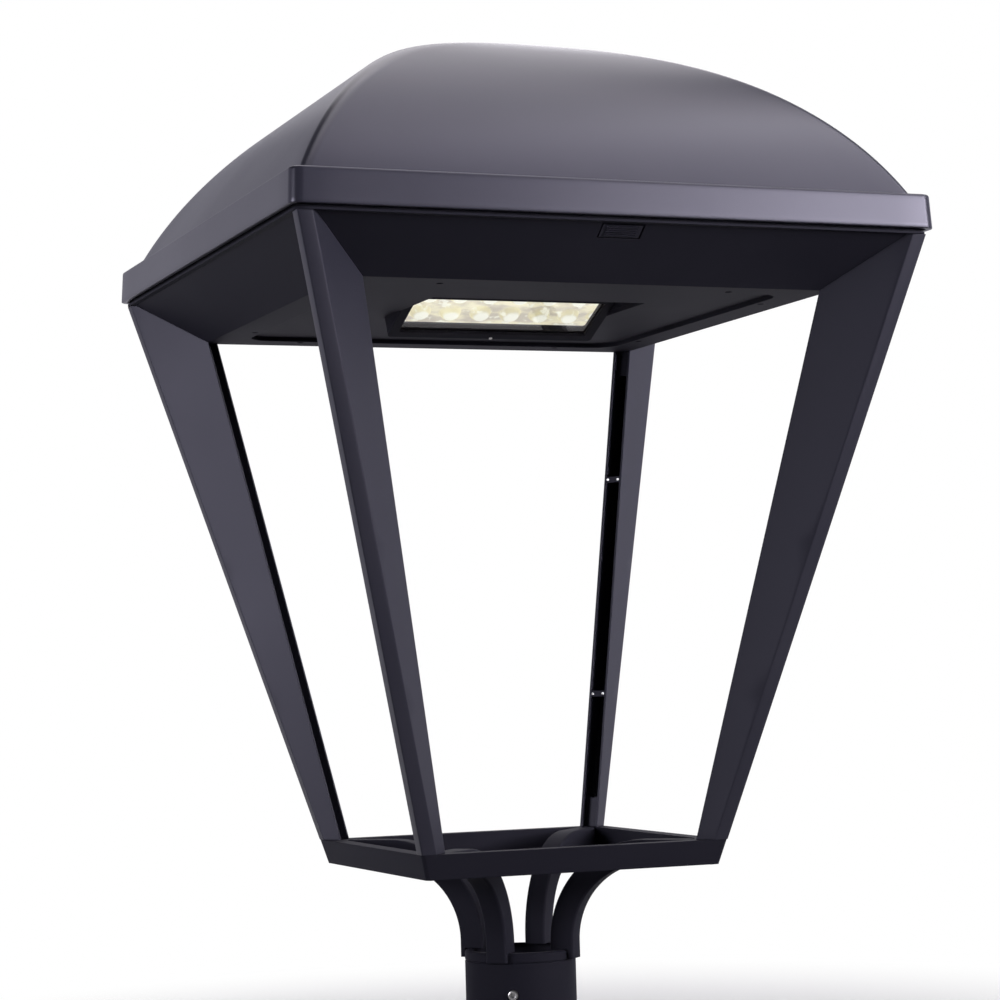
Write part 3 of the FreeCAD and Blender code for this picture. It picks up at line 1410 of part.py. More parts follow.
def make_keeper():
    """A strip bent from the roof's rib down to the nose, with a window that catches it."""
    body = doc.addObject("PartDesign::Body", "keeper_strip")
    profile = sketch_on(body, plane="YZ_Plane")
    top = ledge_inner - latch_sheet
    low = nose_low - latch_sheet * 1.55
    outline(profile, [
        (-inner_foot, top), (-inner_foot, top - keeper_flange),
        (-inner_foot + latch_sheet, top - keeper_flange),
        (-inner_foot + latch_sheet, top - latch_sheet), (-keeper_face, top - latch_sheet),
        (-keeper_face, low), (-keeper_back, low), (-keeper_back, top)])
    extrude(body, "Pad", profile, d.button_length * 1.1, symmetric=True)
    window = block(d.button_length / 2 + window_play * 3, latch_sheet * 2,
                   nose_high - nose_low + window_play * 2.2, 0,
                   -(keeper_face + keeper_back) / 2, nose_low - window_play)
    keep(cut(body, [window]), "latch_keeper")


spring_run = 14.0           # length of the latch spring at rest
spring_back = button_back - spring_run
spring_level = (button_low + button_high) / 2
spring_wire = d.spring_radius * 0.11
SPRING_TURNS = 5


def make_latch_bracket():
    """A bent strip that stands on the pan's floor and backs the spring."""
    body = doc.addObject("PartDesign::Body", "bracket_strip")
    profile = sketch_on(body, plane="YZ_Plane")
    floor = panel_level
    sheet = latch_sheet
    heel = pan_half_at(floor) - d.pan_wall - sheet / 2
    toe = panel_half + sheet * 0.75
    knee = floor + sheet * 7
    outline(profile, [
        (-spring_back, button_high), (-spring_back, knee), (-heel, floor),
        (-toe, floor), (-toe, floor + sheet), (-heel + sheet / 2, floor + sheet),
        (-spring_back + sheet, knee), (-spring_back + sheet, button_high)])
    extrude(body, "Pad", profile, d.button_length * GRIP_SHARE, symmetric=True)
    keep(body, "latch_bracket")


def make_spring():
    """A compression spring between the button and its bracket."""
    length = button_back - spring_back
    helix = doc.addObject("Part::Helix", "spring_line")
    bind(helix, "Pitch", (length - spring_wire * 2) / SPRING_TURNS)
    bind(helix, "Height", length - spring_wire * 2)
    bind(helix, "Radius", d.spring_radius - spring_wire)
    section = doc.addObject("Part::Circle", "spring_section")
    bind(section, "Radius", spring_wire)
    move_to(section, d.spring_radius - spring_wire, 0, 0, Rotation(Vector(1, 0, 0), 90))
    sweep = doc.addObject("Part::Sweep", "spring_coil")
    sweep.Sections = [section]
    sweep.Spine = (helix, [])
    sweep.Solid = True
    sweep.Frenet = True
    spring = group([sweep])
    move_to(spring, 0, -button_back + spring_wire, spring_level, AXES["y"])
    keep(spring, "latch_spring")


make_collar()
make_set_screws()
for corner, angle in CORNERS.items():
    make_arm(corner, angle)
make_frame()
make_foot_bolts()
for corner, angle in CORNERS.items():
    make_leg(corner, angle)
make_head_bolts()
make_clips()
make_pan()
make_gasket()
make_canopy()
make_panel()
make_panel_screws()
make_bezel()
make_bezel_screws()
make_light_housing()
make_glass()
make_glass_seal()
make_lenses()
make_chips()
make_board()
make_heat_sink()
make_shroud()
make_tray()
make_gear()
make_terminals()
make_clamp()
make_hinges()
make_button()
make_keeper()
make_latch_bracket()
make_spring()

# --------------------------------------------------------------------------------------
# Check and write
# --------------------------------------------------------------------------------------
doc.recompute()
for thing in doc.Objects:
    if "Invalid" in thing.State or "Error" in thing.State:
        raise RuntimeError(f"{thing.Name} ({thing.Label}) failed: {thing.State}")
for piece in pieces:
    if piece.Shape.isNull() or not piece.Shape.isValid() or not piece.Shape.Solids:
        raise RuntimeError(f"{piece.Label} has no valid solid")

os.makedirs("parts", exist_ok=True)
for piece in pieces:
    piece.Shape.exportStep(os.path.join("parts", f"{piece.Label}.step"))
    box = piece.Shape.BoundBox
    print(f"{piece.Label}: {len(piece.Shape.Solids)} solid(s), "
          f"{piece.Shape.Volume / 1000:.1f} cm3, x {box.XMin:.1f}..{box.XMax:.1f} "
          f"y {box.YMin:.1f}..{box.YMax:.1f} z {box.ZMin:.1f}..{box.ZMax:.1f}")
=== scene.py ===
"""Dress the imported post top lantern: smooth castings, finishes, the lit window and the studio."""

import logging
import math
from contextlib import contextmanager
from dataclasses import dataclass, field
from enum import Enum
from typing import (
    Any, ClassVar, Dict, Iterator, List, Optional, Sequence, Tuple, Union)

import bmesh
import bpy
import numpy as np
from mathutils import Matrix, Vector


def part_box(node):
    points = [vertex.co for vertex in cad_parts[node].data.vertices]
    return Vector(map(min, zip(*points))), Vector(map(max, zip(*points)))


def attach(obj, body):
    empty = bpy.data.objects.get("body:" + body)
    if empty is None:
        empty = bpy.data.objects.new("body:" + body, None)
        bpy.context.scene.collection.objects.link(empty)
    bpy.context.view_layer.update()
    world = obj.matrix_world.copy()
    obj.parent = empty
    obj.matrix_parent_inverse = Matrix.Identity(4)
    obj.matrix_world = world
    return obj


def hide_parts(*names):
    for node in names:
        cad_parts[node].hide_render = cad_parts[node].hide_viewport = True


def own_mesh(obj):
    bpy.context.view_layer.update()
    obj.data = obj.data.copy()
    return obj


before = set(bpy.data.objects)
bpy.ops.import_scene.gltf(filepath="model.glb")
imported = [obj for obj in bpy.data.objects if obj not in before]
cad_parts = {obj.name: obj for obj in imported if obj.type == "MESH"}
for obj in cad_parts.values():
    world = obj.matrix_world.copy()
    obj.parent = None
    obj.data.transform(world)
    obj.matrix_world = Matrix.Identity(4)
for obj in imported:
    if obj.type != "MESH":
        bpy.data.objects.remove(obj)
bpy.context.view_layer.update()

LOG = logging.getLogger("lantern")
MM = 0.001
SEAM_GAP = 0.02 * MM
WELD_GAP = 0.002 * MM
FINE_GAP = 0.001 * MM
QUARTER_TURN = math.pi / 2
Colour = Tuple[float, float, float]
Span = Tuple[float, float]
WHITE: Colour = (1.0, 1.0, 1.0)
COOL_GLOSS: Colour = (0.86, 0.82, 1.0)


class Slot(Enum):
    """The finishes: each stands for a material slot of the record, and the coats share one; the
    dull coats are that coat made rougher, with a darker colour that is painted shade.
    """

    COAT = "anthracite_coat"
    HALF_DULL_PAINTED_SHADE = "anthracite_coat_half_matt"
    DULL_PAINTED_SHADE = "anthracite_coat_matt"
    STEEL = "stainless_steel"
    RUBBER = "seal_rubber"
    ALUMINIUM = "bare_aluminium"
    GLASS = "window_glass"
    LENS = "lens_plastic"
    CHIP = "light_chip"
    BOARD = "white_board"
    SHEET = "galvanised_sheet"
    CASE = "driver_case"
    TERMINAL = "terminal_plastic"
    BUTTON = "button_plastic"

    @property
    def record_name(self) -> str:
        """Return the name of the record's slot that the finish stands for."""
        return Slot.COAT.value if self in (Slot.HALF_DULL_PAINTED_SHADE, Slot.DULL_PAINTED_SHADE) else self.value


class Body(Enum):
    """The moving bodies of the frame."""

    LANTERN = "lantern"
    CANOPY = "canopy"
    BUTTON = "latch_button"


# ----------------------------------------------------------------------------------------
# Node trees written as expressions
# ----------------------------------------------------------------------------------------
class Signal:
    """A node's output socket that takes part in arithmetic."""

    def __init__(self, tree: "Tree", socket: Optional[bpy.types.NodeSocket]) -> None:
        """Hold the socket and the tree that it belongs to."""
        self.tree = tree
        self.socket = socket

    def other(self, key: Union[str, int]) -> "Signal":
        """Return another output of the same node, by name or number."""
        return Signal(self.tree, self.tree.socket(self.socket.node.outputs, key))

    def math(self, operation: str, *others: "Operand") -> "Signal":
        """Return the result of a Math node on this signal and others.

        Args:
            operation: the Math node's operation.
            others: the second and third operands.

        Returns:
            The Math node's output.
        """
        operands = dict(enumerate((self, *others)))
        return self.tree.node("ShaderNodeMath", {"operation": operation}, operands)

    def __add__(self, other: "Operand") -> "Signal":
        """Add."""
        return self.math("ADD", other)

    __radd__ = __add__

    def __mul__(self, other: "Operand") -> "Signal":
        """Multiply."""
        return self.math("MULTIPLY", other)

    __rmul__ = __mul__

    def __sub__(self, other: "Operand") -> "Signal":
        """Subtract the other from this."""
        return self.math("SUBTRACT", other)

    def __rsub__(self, other: "Operand") -> "Signal":
        """Subtract this from the other."""
        return self.math("MULTIPLY_ADD", -1.0, other)

    def __truediv__(self, other: "Operand") -> "Signal":
        """Divide by the other."""
        return self.math("DIVIDE", other)

    def __pow__(self, other: "Operand") -> "Signal":
        """Raise to a power."""
        return self.math("POWER", other)

    def least(self, other: "Operand") -> "Signal":
        """Return the smaller of the two."""
        return self.math("MINIMUM", other)

    def most(self, other: "Operand") -> "Signal":
        """Return the larger of the two."""
        return self.math("MAXIMUM", other)

    def ramp(self, low: float, high: float) -> "Signal":
        """Return a smooth step.

        Args:
            low: where it begins to rise from 0.
            high: where it reaches 1.

        Returns:
            The step.
        """
        return self.tree.node(
            "ShaderNodeMapRange",
            {"interpolation_type": "SMOOTHSTEP"},
            {"Value": self, "From Min": low, "From Max": high})


Operand = Union[Signal, float, int]


class Tree:
    """A shader or geometry node tree."""

    def __init__(self, tree: bpy.types.NodeTree) -> None:
        """Hold the tree."""
        self.tree = tree

    def node(self, kind: str, settings: Optional[Dict[str, Any]] = None,
             inputs: Optional[Dict[Union[str, int], Any]] = None,
             output: Union[str, int] = 0) -> Signal:
        """Add a node.

        Args:
            kind: the node's type.
            settings: its properties, which are set first.
            inputs: a value or a signal for each socket, by name or number.
            output: the output that is wanted.

        Returns:
            The wanted output, or an empty signal from a node that has none.
        """
        made = self.tree.nodes.new(kind)
        for name, value in (settings or {}).items():
            setattr(made, name, value)
        for key, value in (inputs or {}).items():
            self.feed(self.socket(made.inputs, key), value)
        return Signal(self, self.socket(made.outputs, output) if made.outputs else None)

    @staticmethod
    def socket(sockets: Any, key: Union[str, int]) -> bpy.types.NodeSocket:
        """Find a socket.

        Args:
            sockets: a node's inputs or outputs.
            key: its number, or the name that it shares only with sockets that are off.

        Returns:
            The socket.
        """
        if isinstance(key, int):
            return sockets[key]
        named = [item for item in sockets if item.name == key]
        return next((item for item in named if item.enabled), named[0])

    def feed(self, socket: bpy.types.NodeSocket, value: Any) -> None:
        """Link a signal to a socket, or set the socket's own value.

        Args:
            socket: the socket.
            value: a signal, a value, or None to leave the socket as it is.
        """
        if isinstance(value, Signal):
            self.tree.links.new(value.socket, socket)
        elif value is not None:
            socket.default_value = value

    def vector(self, x: Operand, y: Operand, z: Operand) -> Signal:
        """Return a vector of three numbers."""
        return self.node("ShaderNodeCombineXYZ", None, {0: x, 1: y, 2: z})

    def parts(self, vector: Signal) -> Tuple[Signal, Signal, Signal]:
        """Return a vector's three numbers."""
        first = self.node("ShaderNodeSeparateXYZ", None, {0: vector})
        return first, first.other(1), first.other(2)

    def blend(self, share: Operand, first: Any, second: Any) -> Signal:
        """Mix two colours.

        Args:
            share: how much of the second one shows.
            first: a colour or a signal.
            second: a colour or a signal.

        Returns:
            The mixed colour.
        """
        below, above = [(*item, 1.0) if isinstance(item, tuple) else item
                        for item in (first, second)]
        return self.node("ShaderNodeMix", {"data_type": "RGBA"}, {
            "Factor": share, "A": below, "B": above}, "Result")


# ----------------------------------------------------------------------------------------
# Finishes
# ----------------------------------------------------------------------------------------
class Paint(Tree):
    """A material's node tree round one principled shader."""

    def __init__(self, name: str) -> None:
        """Start a material with an empty tree.

        Args:
            name: the material's name.
        """
        self.material = bpy.data.materials.new(name)
        self.material.use_nodes = True
        super().__init__(self.material.node_tree)
        self.tree.nodes.clear()
        self.place = self.node("ShaderNodeTexCoord", output="Object")

    def mapped(self, scale: Sequence[float] = (1, 1, 1), turn: Sequence[float] = (0, 0, 0),
               shift: Sequence[float] = (0, 0, 0)) -> Signal:
        """Return the object coordinates scaled, turned and moved.

        Args:
            scale: how much each axis is scaled.
            turn: the angles about the axes.
            shift: how far they are moved.

        Returns:
            The coordinates.
        """
        return self.node("ShaderNodeMapping", None, {
            "Vector": self.place, "Scale": scale, "Rotation": turn, "Location": shift})

    def noise(self, scale: float, detail: float = 3.0, place: Optional[Signal] = None) -> Signal:
        """Return soft noise between 0 and 1.

        Args:
            scale: how many spots a metre holds.
            detail: how many finer layers it has.
            place: where it is read, by default in object coordinates.

        Returns:
            The noise.
        """
        return self.node("ShaderNodeTexNoise", None, {
            "Vector": place or self.place, "Scale": scale, "Detail": detail})

    def cells(self, scale: float, feature: str = "F1", output: str = "Distance") -> Signal:
        """Return a Voronoi pattern in object coordinates.

        Args:
            scale: how many cells a metre holds.
            feature: what is measured in a cell.
            output: the output that is wanted.

        Returns:
            The pattern.
        """
        return self.node("ShaderNodeTexVoronoi", {"feature": feature}, {
            "Vector": self.place, "Scale": scale}, output)

    def relief(self, height: Signal, depth: float, strength: float = 1.0,
               below: Optional[Signal] = None) -> Signal:
        """Return a normal bumped by a height.

        Args:
            height: the relief, from 0 to 1.
            depth: its depth in metres.
            strength: how strongly it shows.
            below: a normal that it lies on.

        Returns:
            The bumped normal.
        """
        return self.node("ShaderNodeBump", None, {
            "Height": height, "Distance": depth, "Strength": strength, "Normal": below})

    def surface(self, **values: Any) -> bpy.types.Material:
        """Finish the material with a principled shader.

        Args:
            values: its sockets' values or signals, with spaces in names as underscores.

        Returns:
            The material.
        """
        inputs = {name.replace("_", " "): value for name, value in values.items()}
        for name, value in inputs.items():
            if isinstance(value, tuple) and len(value) == 3:
                inputs[name] = (*value, 1.0)
        return self.output(self.node("ShaderNodeBsdfPrincipled", None, inputs))

    def output(self, shader: Signal) -> bpy.types.Material:
        """Finish the material with a shader."""
        self.node("ShaderNodeOutputMaterial", None, {"Surface": shader})
        return self.material


@dataclass(frozen=True)
class PowderCoat:
    """Fine textured satin powder coat."""

    colour: Colour = (0.024, 0.0235, 0.0355)
    dusty: Colour = (0.034, 0.033, 0.0455)
    roughness: float = 0.32
    clouds: float = 7.0
    cloud_from: Span = (0.35, 0.75)
    grain: float = 1500.0
    specks: float = 900.0
    depth: float = 0.07 * MM
    edge_radius: float = 0.9 * MM
    specular: float = 0.45
    gloss_tint: Colour = COOL_GLOSS

    def make(self, name: str) -> bpy.types.Material:
        """Build the material.

        Args:
            name: its name.

        Returns:
            The material.
        """
        paint = Paint(name)
        cloud = paint.noise(self.clouds, detail=4.0)
        fine = paint.noise(self.grain, detail=2.0)
        speck = paint.cells(self.specks)
        shade = cloud.ramp(*self.cloud_from) * 0.6 + fine * 0.25
        rounded = paint.node("ShaderNodeBevel", {"samples": 4}, {"Radius": self.edge_radius})
        return paint.surface(
            Base_Color=paint.blend(shade, self.colour, self.dusty),
            Roughness=cloud * 0.10 + fine * 0.08 + (self.roughness - 0.09),
            Specular_IOR_Level=self.specular,
            Specular_Tint=self.gloss_tint,
            Normal=paint.relief(fine * 0.7 + speck * 0.3, self.depth, 0.5, rounded))


@dataclass(frozen=True)
class Metal:
    """Bare metal with a drawn or cast skin."""

    colour: Colour = (0.62, 0.61, 0.60)
    dull: Colour = (0.46, 0.45, 0.44)
    roughness: float = 0.30
    drawn: Tuple[float, float, float] = (60.0, 900.0, 900.0)
    stains: float = 45.0
    stain_from: Span = (0.4, 0.7)
    depth: float = 0.03 * MM

    def make(self, name: str) -> bpy.types.Material:
        """Build the material.

        Args:
            name: its name.

        Returns:
            The material.
        """
        paint = Paint(name)
        streak = paint.noise(1.0, place=paint.mapped(self.drawn))
        stain = paint.noise(self.stains, detail=4.0)
        return paint.surface(
            Base_Color=paint.blend(stain.ramp(*self.stain_from) * 0.6 + streak * 0.3,
                                   self.colour, self.dull),
            Metallic=1.0,
            Roughness=streak * 0.18 + stain * 0.10 + (self.roughness - 0.12),
            Normal=paint.relief(streak, self.depth, 0.6))


@dataclass(frozen=True)
class ZincSheet:
    """Zinc coated sheet with its spangle."""

    pale: Colour = (0.66, 0.68, 0.70)
    dark: Colour = (0.44, 0.46, 0.49)
    flakes: float = 140.0
    flake_edge: float = 0.06
    depth: float = 0.03 * MM

    def make(self, name: str) -> bpy.types.Material:
        """Build the material.

        Args:
            name: its name.

        Returns:
            The material.
        """
        paint = Paint(name)
        tone = paint.parts(paint.cells(self.flakes, output="Color"))[0]
        edge = paint.cells(self.flakes, "DISTANCE_TO_EDGE").ramp(0.0, self.flake_edge)
        return paint.surface(
            Base_Color=paint.blend(tone, self.pale, self.dark),
            Metallic=1.0,
            Roughness=tone * 0.22 + 0.28,
            Normal=paint.relief(edge * 0.3 + tone * 0.7, self.depth, 0.5))


@dataclass(frozen=True)
class Moulding:
    """Moulded plastic or rubber with an eroded mould skin."""

    colour: Colour = (0.8, 0.8, 0.78)
    worn: Colour = (0.7, 0.7, 0.68)
    roughness: float = 0.5
    clouds: float = 30.0
    cloud_from: Span = (0.35, 0.7)
    grain: float = 1800.0
    depth: float = 0.06 * MM
    specular: float = 0.4
    gloss_tint: Colour = WHITE

    def make(self, name: str) -> bpy.types.Material:
        """Build the material.

        Args:
            name: its name.

        Returns:
            The material.
        """
        paint = Paint(name)
        cloud = paint.noise(self.clouds, detail=4.0)
        grain = paint.noise(self.grain)
        return paint.surface(
            Base_Color=paint.blend(cloud.ramp(*self.cloud_from) * 0.7 + grain * 0.3,
                                   self.colour, self.worn),
            Roughness=cloud * 0.12 + grain * 0.08 + (self.roughness - 0.1),
            Specular_IOR_Level=self.specular,
            Specular_Tint=self.gloss_tint,
            Normal=paint.relief(grain, self.depth, 0.5))


@dataclass(frozen=True)
class BoardFinish:
    """White solder resist with copper tracks that show through it."""

    resist: Colour = (0.84, 0.84, 0.81)
    track: Colour = (0.70, 0.71, 0.64)
    pitch: float = 120.0
    depth: float = 0.04 * MM

    def make(self, name: str) -> bpy.types.Material:
        """Build the material.

        Args:
            name: its name.

        Returns:
            The material.
        """
        paint = Paint(name)
        tracks = paint.node("ShaderNodeTexBrick", None, {
            "Vector": paint.place, "Scale": self.pitch,
            "Color1": (0, 0, 0, 1), "Color2": (0.3, 0.3, 0.3, 1), "Mortar": (1, 1, 1, 1)})
        lines = paint.parts(tracks)[0]
        return paint.surface(
            Base_Color=paint.blend(lines * 0.5, self.resist, self.track),
            Roughness=lines * 0.15 + 0.35,
            Normal=paint.relief(lines, self.depth, 0.5))


@dataclass(frozen=True)
class PaneGlass:
    """Clear toughened glass with a little dust on it."""

    tint: Colour = (0.97, 0.99, 0.97)
    clouds: float = 60.0
    dust_from: Span = (0.5, 0.8)
    depth: float = 0.02 * MM
    refraction: float = 1.45

    def make(self, name: str) -> bpy.types.Material:
        """Build the material.

        Args:
            name: its name.

        Returns:
            The material.
        """
        paint = Paint(name)
        dust = paint.noise(self.clouds, detail=5.0)
        return paint.surface(
            Base_Color=self.tint,
            Roughness=dust.ramp(*self.dust_from) * 0.05,
            Transmission_Weight=1.0,
            IOR=self.refraction,
            Normal=paint.relief(dust, self.depth, 0.3))


@dataclass(frozen=True)
class LensGlow:
    """Moulded lenses with painted light: the chips' light through them is painted as emission,
    bright discs with a halo in softly glowing plastic, uneven cream and darker patches and small
    painted glints.
    """

    tilt: float = math.radians(24.3)
    middle_level: float = 587.8 * MM
    pitch: float = 25.4 * MM
    radius: float = 9.0 * MM
    disc_edge: Span = (0.55, 0.80)
    halo_edge: Span = (0.85, 1.15)
    waves: float = 70.0
    patches: float = 34.0
    patch_stretch: Tuple[float, float, float] = (1.0, 2.2, 2.2)
    patch_from: Span = (0.40, 0.62)
    painted_glint_scale: float = 120.0
    painted_glint_from: Span = (0.56, 0.66)
    plastic: Colour = (0.20, 0.19, 0.16)
    disc: Colour = (1.0, 0.99, 0.90)
    halo: Colour = (0.80, 0.72, 0.36)
    cream: Colour = (0.92, 0.85, 0.64)
    shade: Colour = (0.56, 0.50, 0.42)
    strength: float = 0.98

    def make(self, name: str) -> bpy.types.Material:
        """Build the material.

        Args:
            name: its name.

        Returns:
            The material.
        """
        paint = Paint(name)
        middle = Matrix.Rotation(self.tilt, 3, "X") @ Vector((0, 0, self.middle_level))
        flat = paint.mapped(turn=(self.tilt, 0, 0), shift=-middle)
        across, along, _ = paint.parts(flat)
        offsets = [(axis / self.pitch).math("FRACT") - 0.5 for axis in (across, along)]
        bend = paint.noise(self.waves, detail=2.0, place=flat) * 0.5 + 0.75
        distance = (offsets[0] ** 2 + offsets[1] ** 2) ** 0.5 * self.pitch * bend
        disc, halo = [1 - distance.ramp(self.radius * edge[0], self.radius * edge[1])
                      for edge in (self.disc_edge, self.halo_edge)]
        ring = halo - disc
        stretched = paint.mapped(self.patch_stretch)
        patch = paint.noise(self.patches, place=stretched).ramp(*self.patch_from)
        # Small painted glints in the glow.
        painted_glints = paint.noise(self.painted_glint_scale, detail=2.0, place=flat).ramp(*self.painted_glint_from)
        patched = paint.blend(patch, self.cream, self.shade)
        ringed = paint.blend(ring * 0.55, patched, self.halo)
        return paint.surface(
            Base_Color=self.plastic,
            Roughness=paint.noise(200.0) * 0.1 + 0.12,
            # The emission is painted light: discs, halo, cream and darker patches, and glints.
            Emission_Color=paint.blend((disc * 0.85).most(painted_glints * 0.7), ringed, self.disc),
            Emission_Strength=self.strength)


@dataclass(frozen=True)
class ChipGlow:
    """Yellow phosphor of a light emitting chip."""

    colour: Colour = (1.0, 0.83, 0.42)
    pale: Colour = (1.0, 0.9, 0.6)
    pale_glow: Colour = (1.0, 0.93, 0.7)
    grain: float = 2500.0
    strength: float = 3.0

    def make(self, name: str) -> bpy.types.Material:
        """Build the material.

        Args:
            name: its name.

        Returns:
            The material.
        """
        paint = Paint(name)
        grain = paint.noise(self.grain)
        return paint.surface(
            Base_Color=paint.blend(grain, self.colour, self.pale),
            Emission_Color=paint.blend(grain, self.colour, self.pale_glow),
            Emission_Strength=self.strength,
            Roughness=grain * 0.2 + 0.3)


# ----------------------------------------------------------------------------------------
# Shapes by rule: geometry node trees
# ----------------------------------------------------------------------------------------
class ShapeTree(Tree):
    """A geometry node tree with named inputs that becomes a plain mesh."""

    def __init__(self, name: str) -> None:
        """Start an empty tree.

        Args:
            name: its name.
        """
        super().__init__(bpy.data.node_groups.new(name, "GeometryNodeTree"))
        self.tree.is_modifier = True
        self.tree.interface.new_socket(
            "Places", in_out="INPUT", socket_type="NodeSocketGeometry")
        self.places = self.node("NodeGroupInput", output="Places")
        self.values: Dict[str, Any] = {}

    def given(self, name: str, value: Any, kind: str = "Float") -> Signal:
        """Add a named input.

        Args:
            name: the input's name.
            value: the value that it gets.
            kind: its socket's kind, such as Float, Int or Object.

        Returns:
            The input's signal.
        """
        socket = self.tree.interface.new_socket(
            name, in_out="INPUT", socket_type=f"NodeSocket{kind}")
        self.values[socket.identifier] = value
        return self.places.other(name)

    def finish(self, geometry: Signal, material: bpy.types.Material) -> None:
        """End the tree: realise instances, set the material and give the geometry out.

        Args:
            geometry: what the tree has made.
            material: its material.
        """
        self.tree.interface.new_socket(
            "Shape", in_out="OUTPUT", socket_type="NodeSocketGeometry")
        real = self.node("GeometryNodeRealizeInstances", None, {"Geometry": geometry})
        painted = self.node("GeometryNodeSetMaterial", None, {
            "Geometry": real, "Material": material})
        self.node("NodeGroupOutput", None, {"Shape": painted})

    def mesh(self, name: str, places: Optional[bpy.types.Mesh] = None) -> bpy.types.Mesh:
        """Return the plain mesh that the tree makes.

        Args:
            name: the mesh's name.
            places: the mesh that the tree starts from, by default an empty one.

        Returns:
            The mesh, with its instances realised.
        """
        seed = bpy.data.objects.new(name, places or bpy.data.meshes.new(name))
        bpy.context.collection.objects.link(seed)
        modifier = seed.modifiers.new(name, "NODES")
        modifier.node_group = self.tree
        for identifier, value in self.values.items():
            modifier[identifier] = value
        graph = bpy.context.evaluated_depsgraph_get()
        made = bpy.data.meshes.new_from_object(
            seed.evaluated_get(graph), preserve_all_data_layers=True, depsgraph=graph)
        bpy.data.objects.remove(seed)
        made.name = name
        return made


# ----------------------------------------------------------------------------------------
# Meshes
# ----------------------------------------------------------------------------------------
Ring = List[Vector]


@contextmanager
def opened(mesh: bpy.types.Mesh) -> Iterator[bmesh.types.BMesh]:
    """Open a mesh for changes, and write them back at the end.

    Args:
        mesh: the mesh.

    Yields:
        The open mesh.
    """
    shape = bmesh.new()
    shape.from_mesh(mesh)
    yield shape
    shape.to_mesh(mesh)
    shape.free()


def rounded_ring(half: float, radius: float, level: float, side: int, arc: int) -> Ring:
    """Return the points of a rounded square, anticlockwise from the right side.

    Args:
        half: half its width.
        radius: the radius of its corners.
        level: its height.
        side: how many steps each side has.
        arc: how many steps each corner has.

    Returns:
        The points, with a corner's first and last one at the ends of its sides.
    """
    straight = half - radius
    points: Ring = []
    for quarter in range(4):
        turn = Matrix.Rotation(QUARTER_TURN * quarter, 3, "Z")
        for step in range(side):
            share = step / side * 2 - 1
            points.append(turn @ Vector((half, straight * share, level)))
        for step in range(arc):
            angle = QUARTER_TURN * step / arc
            points.append(turn @ Vector((
                straight + radius * math.cos(angle), straight + radius * math.sin(angle),
                level)))
    return points


def bridge(rings: Sequence[Ring], name: str) -> bpy.types.Mesh:
    """Return a mesh of quads between rings of equal length.

    Args:
        rings: the rings, in order.
        name: the mesh's name.

    Returns:
        The mesh.
    """
    count = len(rings[0])
    mesh = bpy.data.meshes.new(name)
    with opened(mesh) as shape:
        rows = [[shape.verts.new(point) for point in ring] for ring in rings]
        for low, high in zip(rows, rows[1:]):
            for number in range(count):
                after = (number + 1) % count
                shape.faces.new((low[number], low[after], high[after], high[number]))
    return mesh


def close_seams(mesh: bpy.types.Mesh, gap: float = SEAM_GAP) -> None:
    """Merge a mesh's doubles and turn its faces outwards.

    Args:
        mesh: the mesh.
        gap: how far apart two points are at most that become one.
    """
    with opened(mesh) as shape:
        bmesh.ops.remove_doubles(shape, verts=shape.verts, dist=gap)
        bmesh.ops.dissolve_degenerate(shape, edges=shape.edges, dist=gap / 4)
        bmesh.ops.recalc_face_normals(shape, faces=shape.faces)


def smooth(mesh: bpy.types.Mesh, crease: float = 28.0) -> None:
    """Shade a mesh smooth except over edges sharper than crease degrees."""
    mesh.shade_smooth()
    mesh.set_sharp_from_angle(angle=math.radians(crease))


def merged_copy(node: str) -> bpy.types.Mesh:
    """Copy a CAD node's mesh, with its loose triangles merged and shaded.

    Args:
        node: the node's name.

    Returns:
        The copy.
    """
    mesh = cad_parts[node].data.copy()
    with opened(mesh) as shape:
        bmesh.ops.remove_doubles(shape, verts=shape.verts, dist=WELD_GAP)
    normals = mesh.attributes.get("custom_normal")
    if normals is not None:
        mesh.attributes.remove(normals)
    smooth(mesh)
    return mesh


class Workshop:
    """Puts finishes on CAD nodes and adds finished pieces."""

    def __init__(self, finishes: Dict[Slot, bpy.types.Material]) -> None:
        """Keep the finishes, one for each slot."""
        self.finishes = finishes

    def dress(self, node: str, slot: Slot) -> None:
        """Put a finish on a CAD node.

        Args:
            node: the node's name.
            slot: its finish.
        """
        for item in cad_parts[node].material_slots:
            item.material = self.finishes[slot]
        LOG.info("dressed %s with %s", node, slot.value)

    def add(self, name: str, mesh: bpy.types.Mesh, slot: Slot, body: Body,
            stands_for: Sequence[str] = ()) -> bpy.types.Object:
        """Add a finished piece.

        Args:
            name: the piece's name.
            mesh: its mesh, in its place.
            slot: the slot that its finish comes from.
            body: the body that it rides on.
            stands_for: the CAD nodes that it replaces.

        Returns:
            The piece's object.
        """
        mesh.materials.clear()
        mesh.materials.append(self.finishes[slot])
        piece = bpy.data.objects.new(name, mesh)
        bpy.context.collection.objects.link(piece)
        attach(piece, body.value)
        if stands_for:
            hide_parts(*stands_for)
        LOG.info("added %s: %d faces on %s", name, len(mesh.polygons), body.value)
        return piece

    def refine(self, node: str, slot: Slot, body: Body) -> bpy.types.Object:
        """Replace a CAD node by a smoothly shaded copy of itself."""
        return self.add(f"{node}_smooth", merged_copy(node), slot, body, [node])

    def screws(self, node: str, body: Body, slot: Slot = Slot.STEEL) -> bpy.types.Object:
        """Replace a CAD node's screws by ones with sockets and rounded heads.

        Args:
            node: the node, whose screws are all alike.
            body: the body that they ride on.
            slot: their finish.

        Returns:
            The screws as one piece.
        """
        found = [Fastener.measured(points) for points in separate_bodies(node)]
        mesh = repeated(f"{node}_fine", found[0].mesh(f"{node}_one"),
                        [(item.place, item.facing) for item in found], self.finishes[slot])
        return self.add(f"{node}_fine", mesh, slot, body, [node])


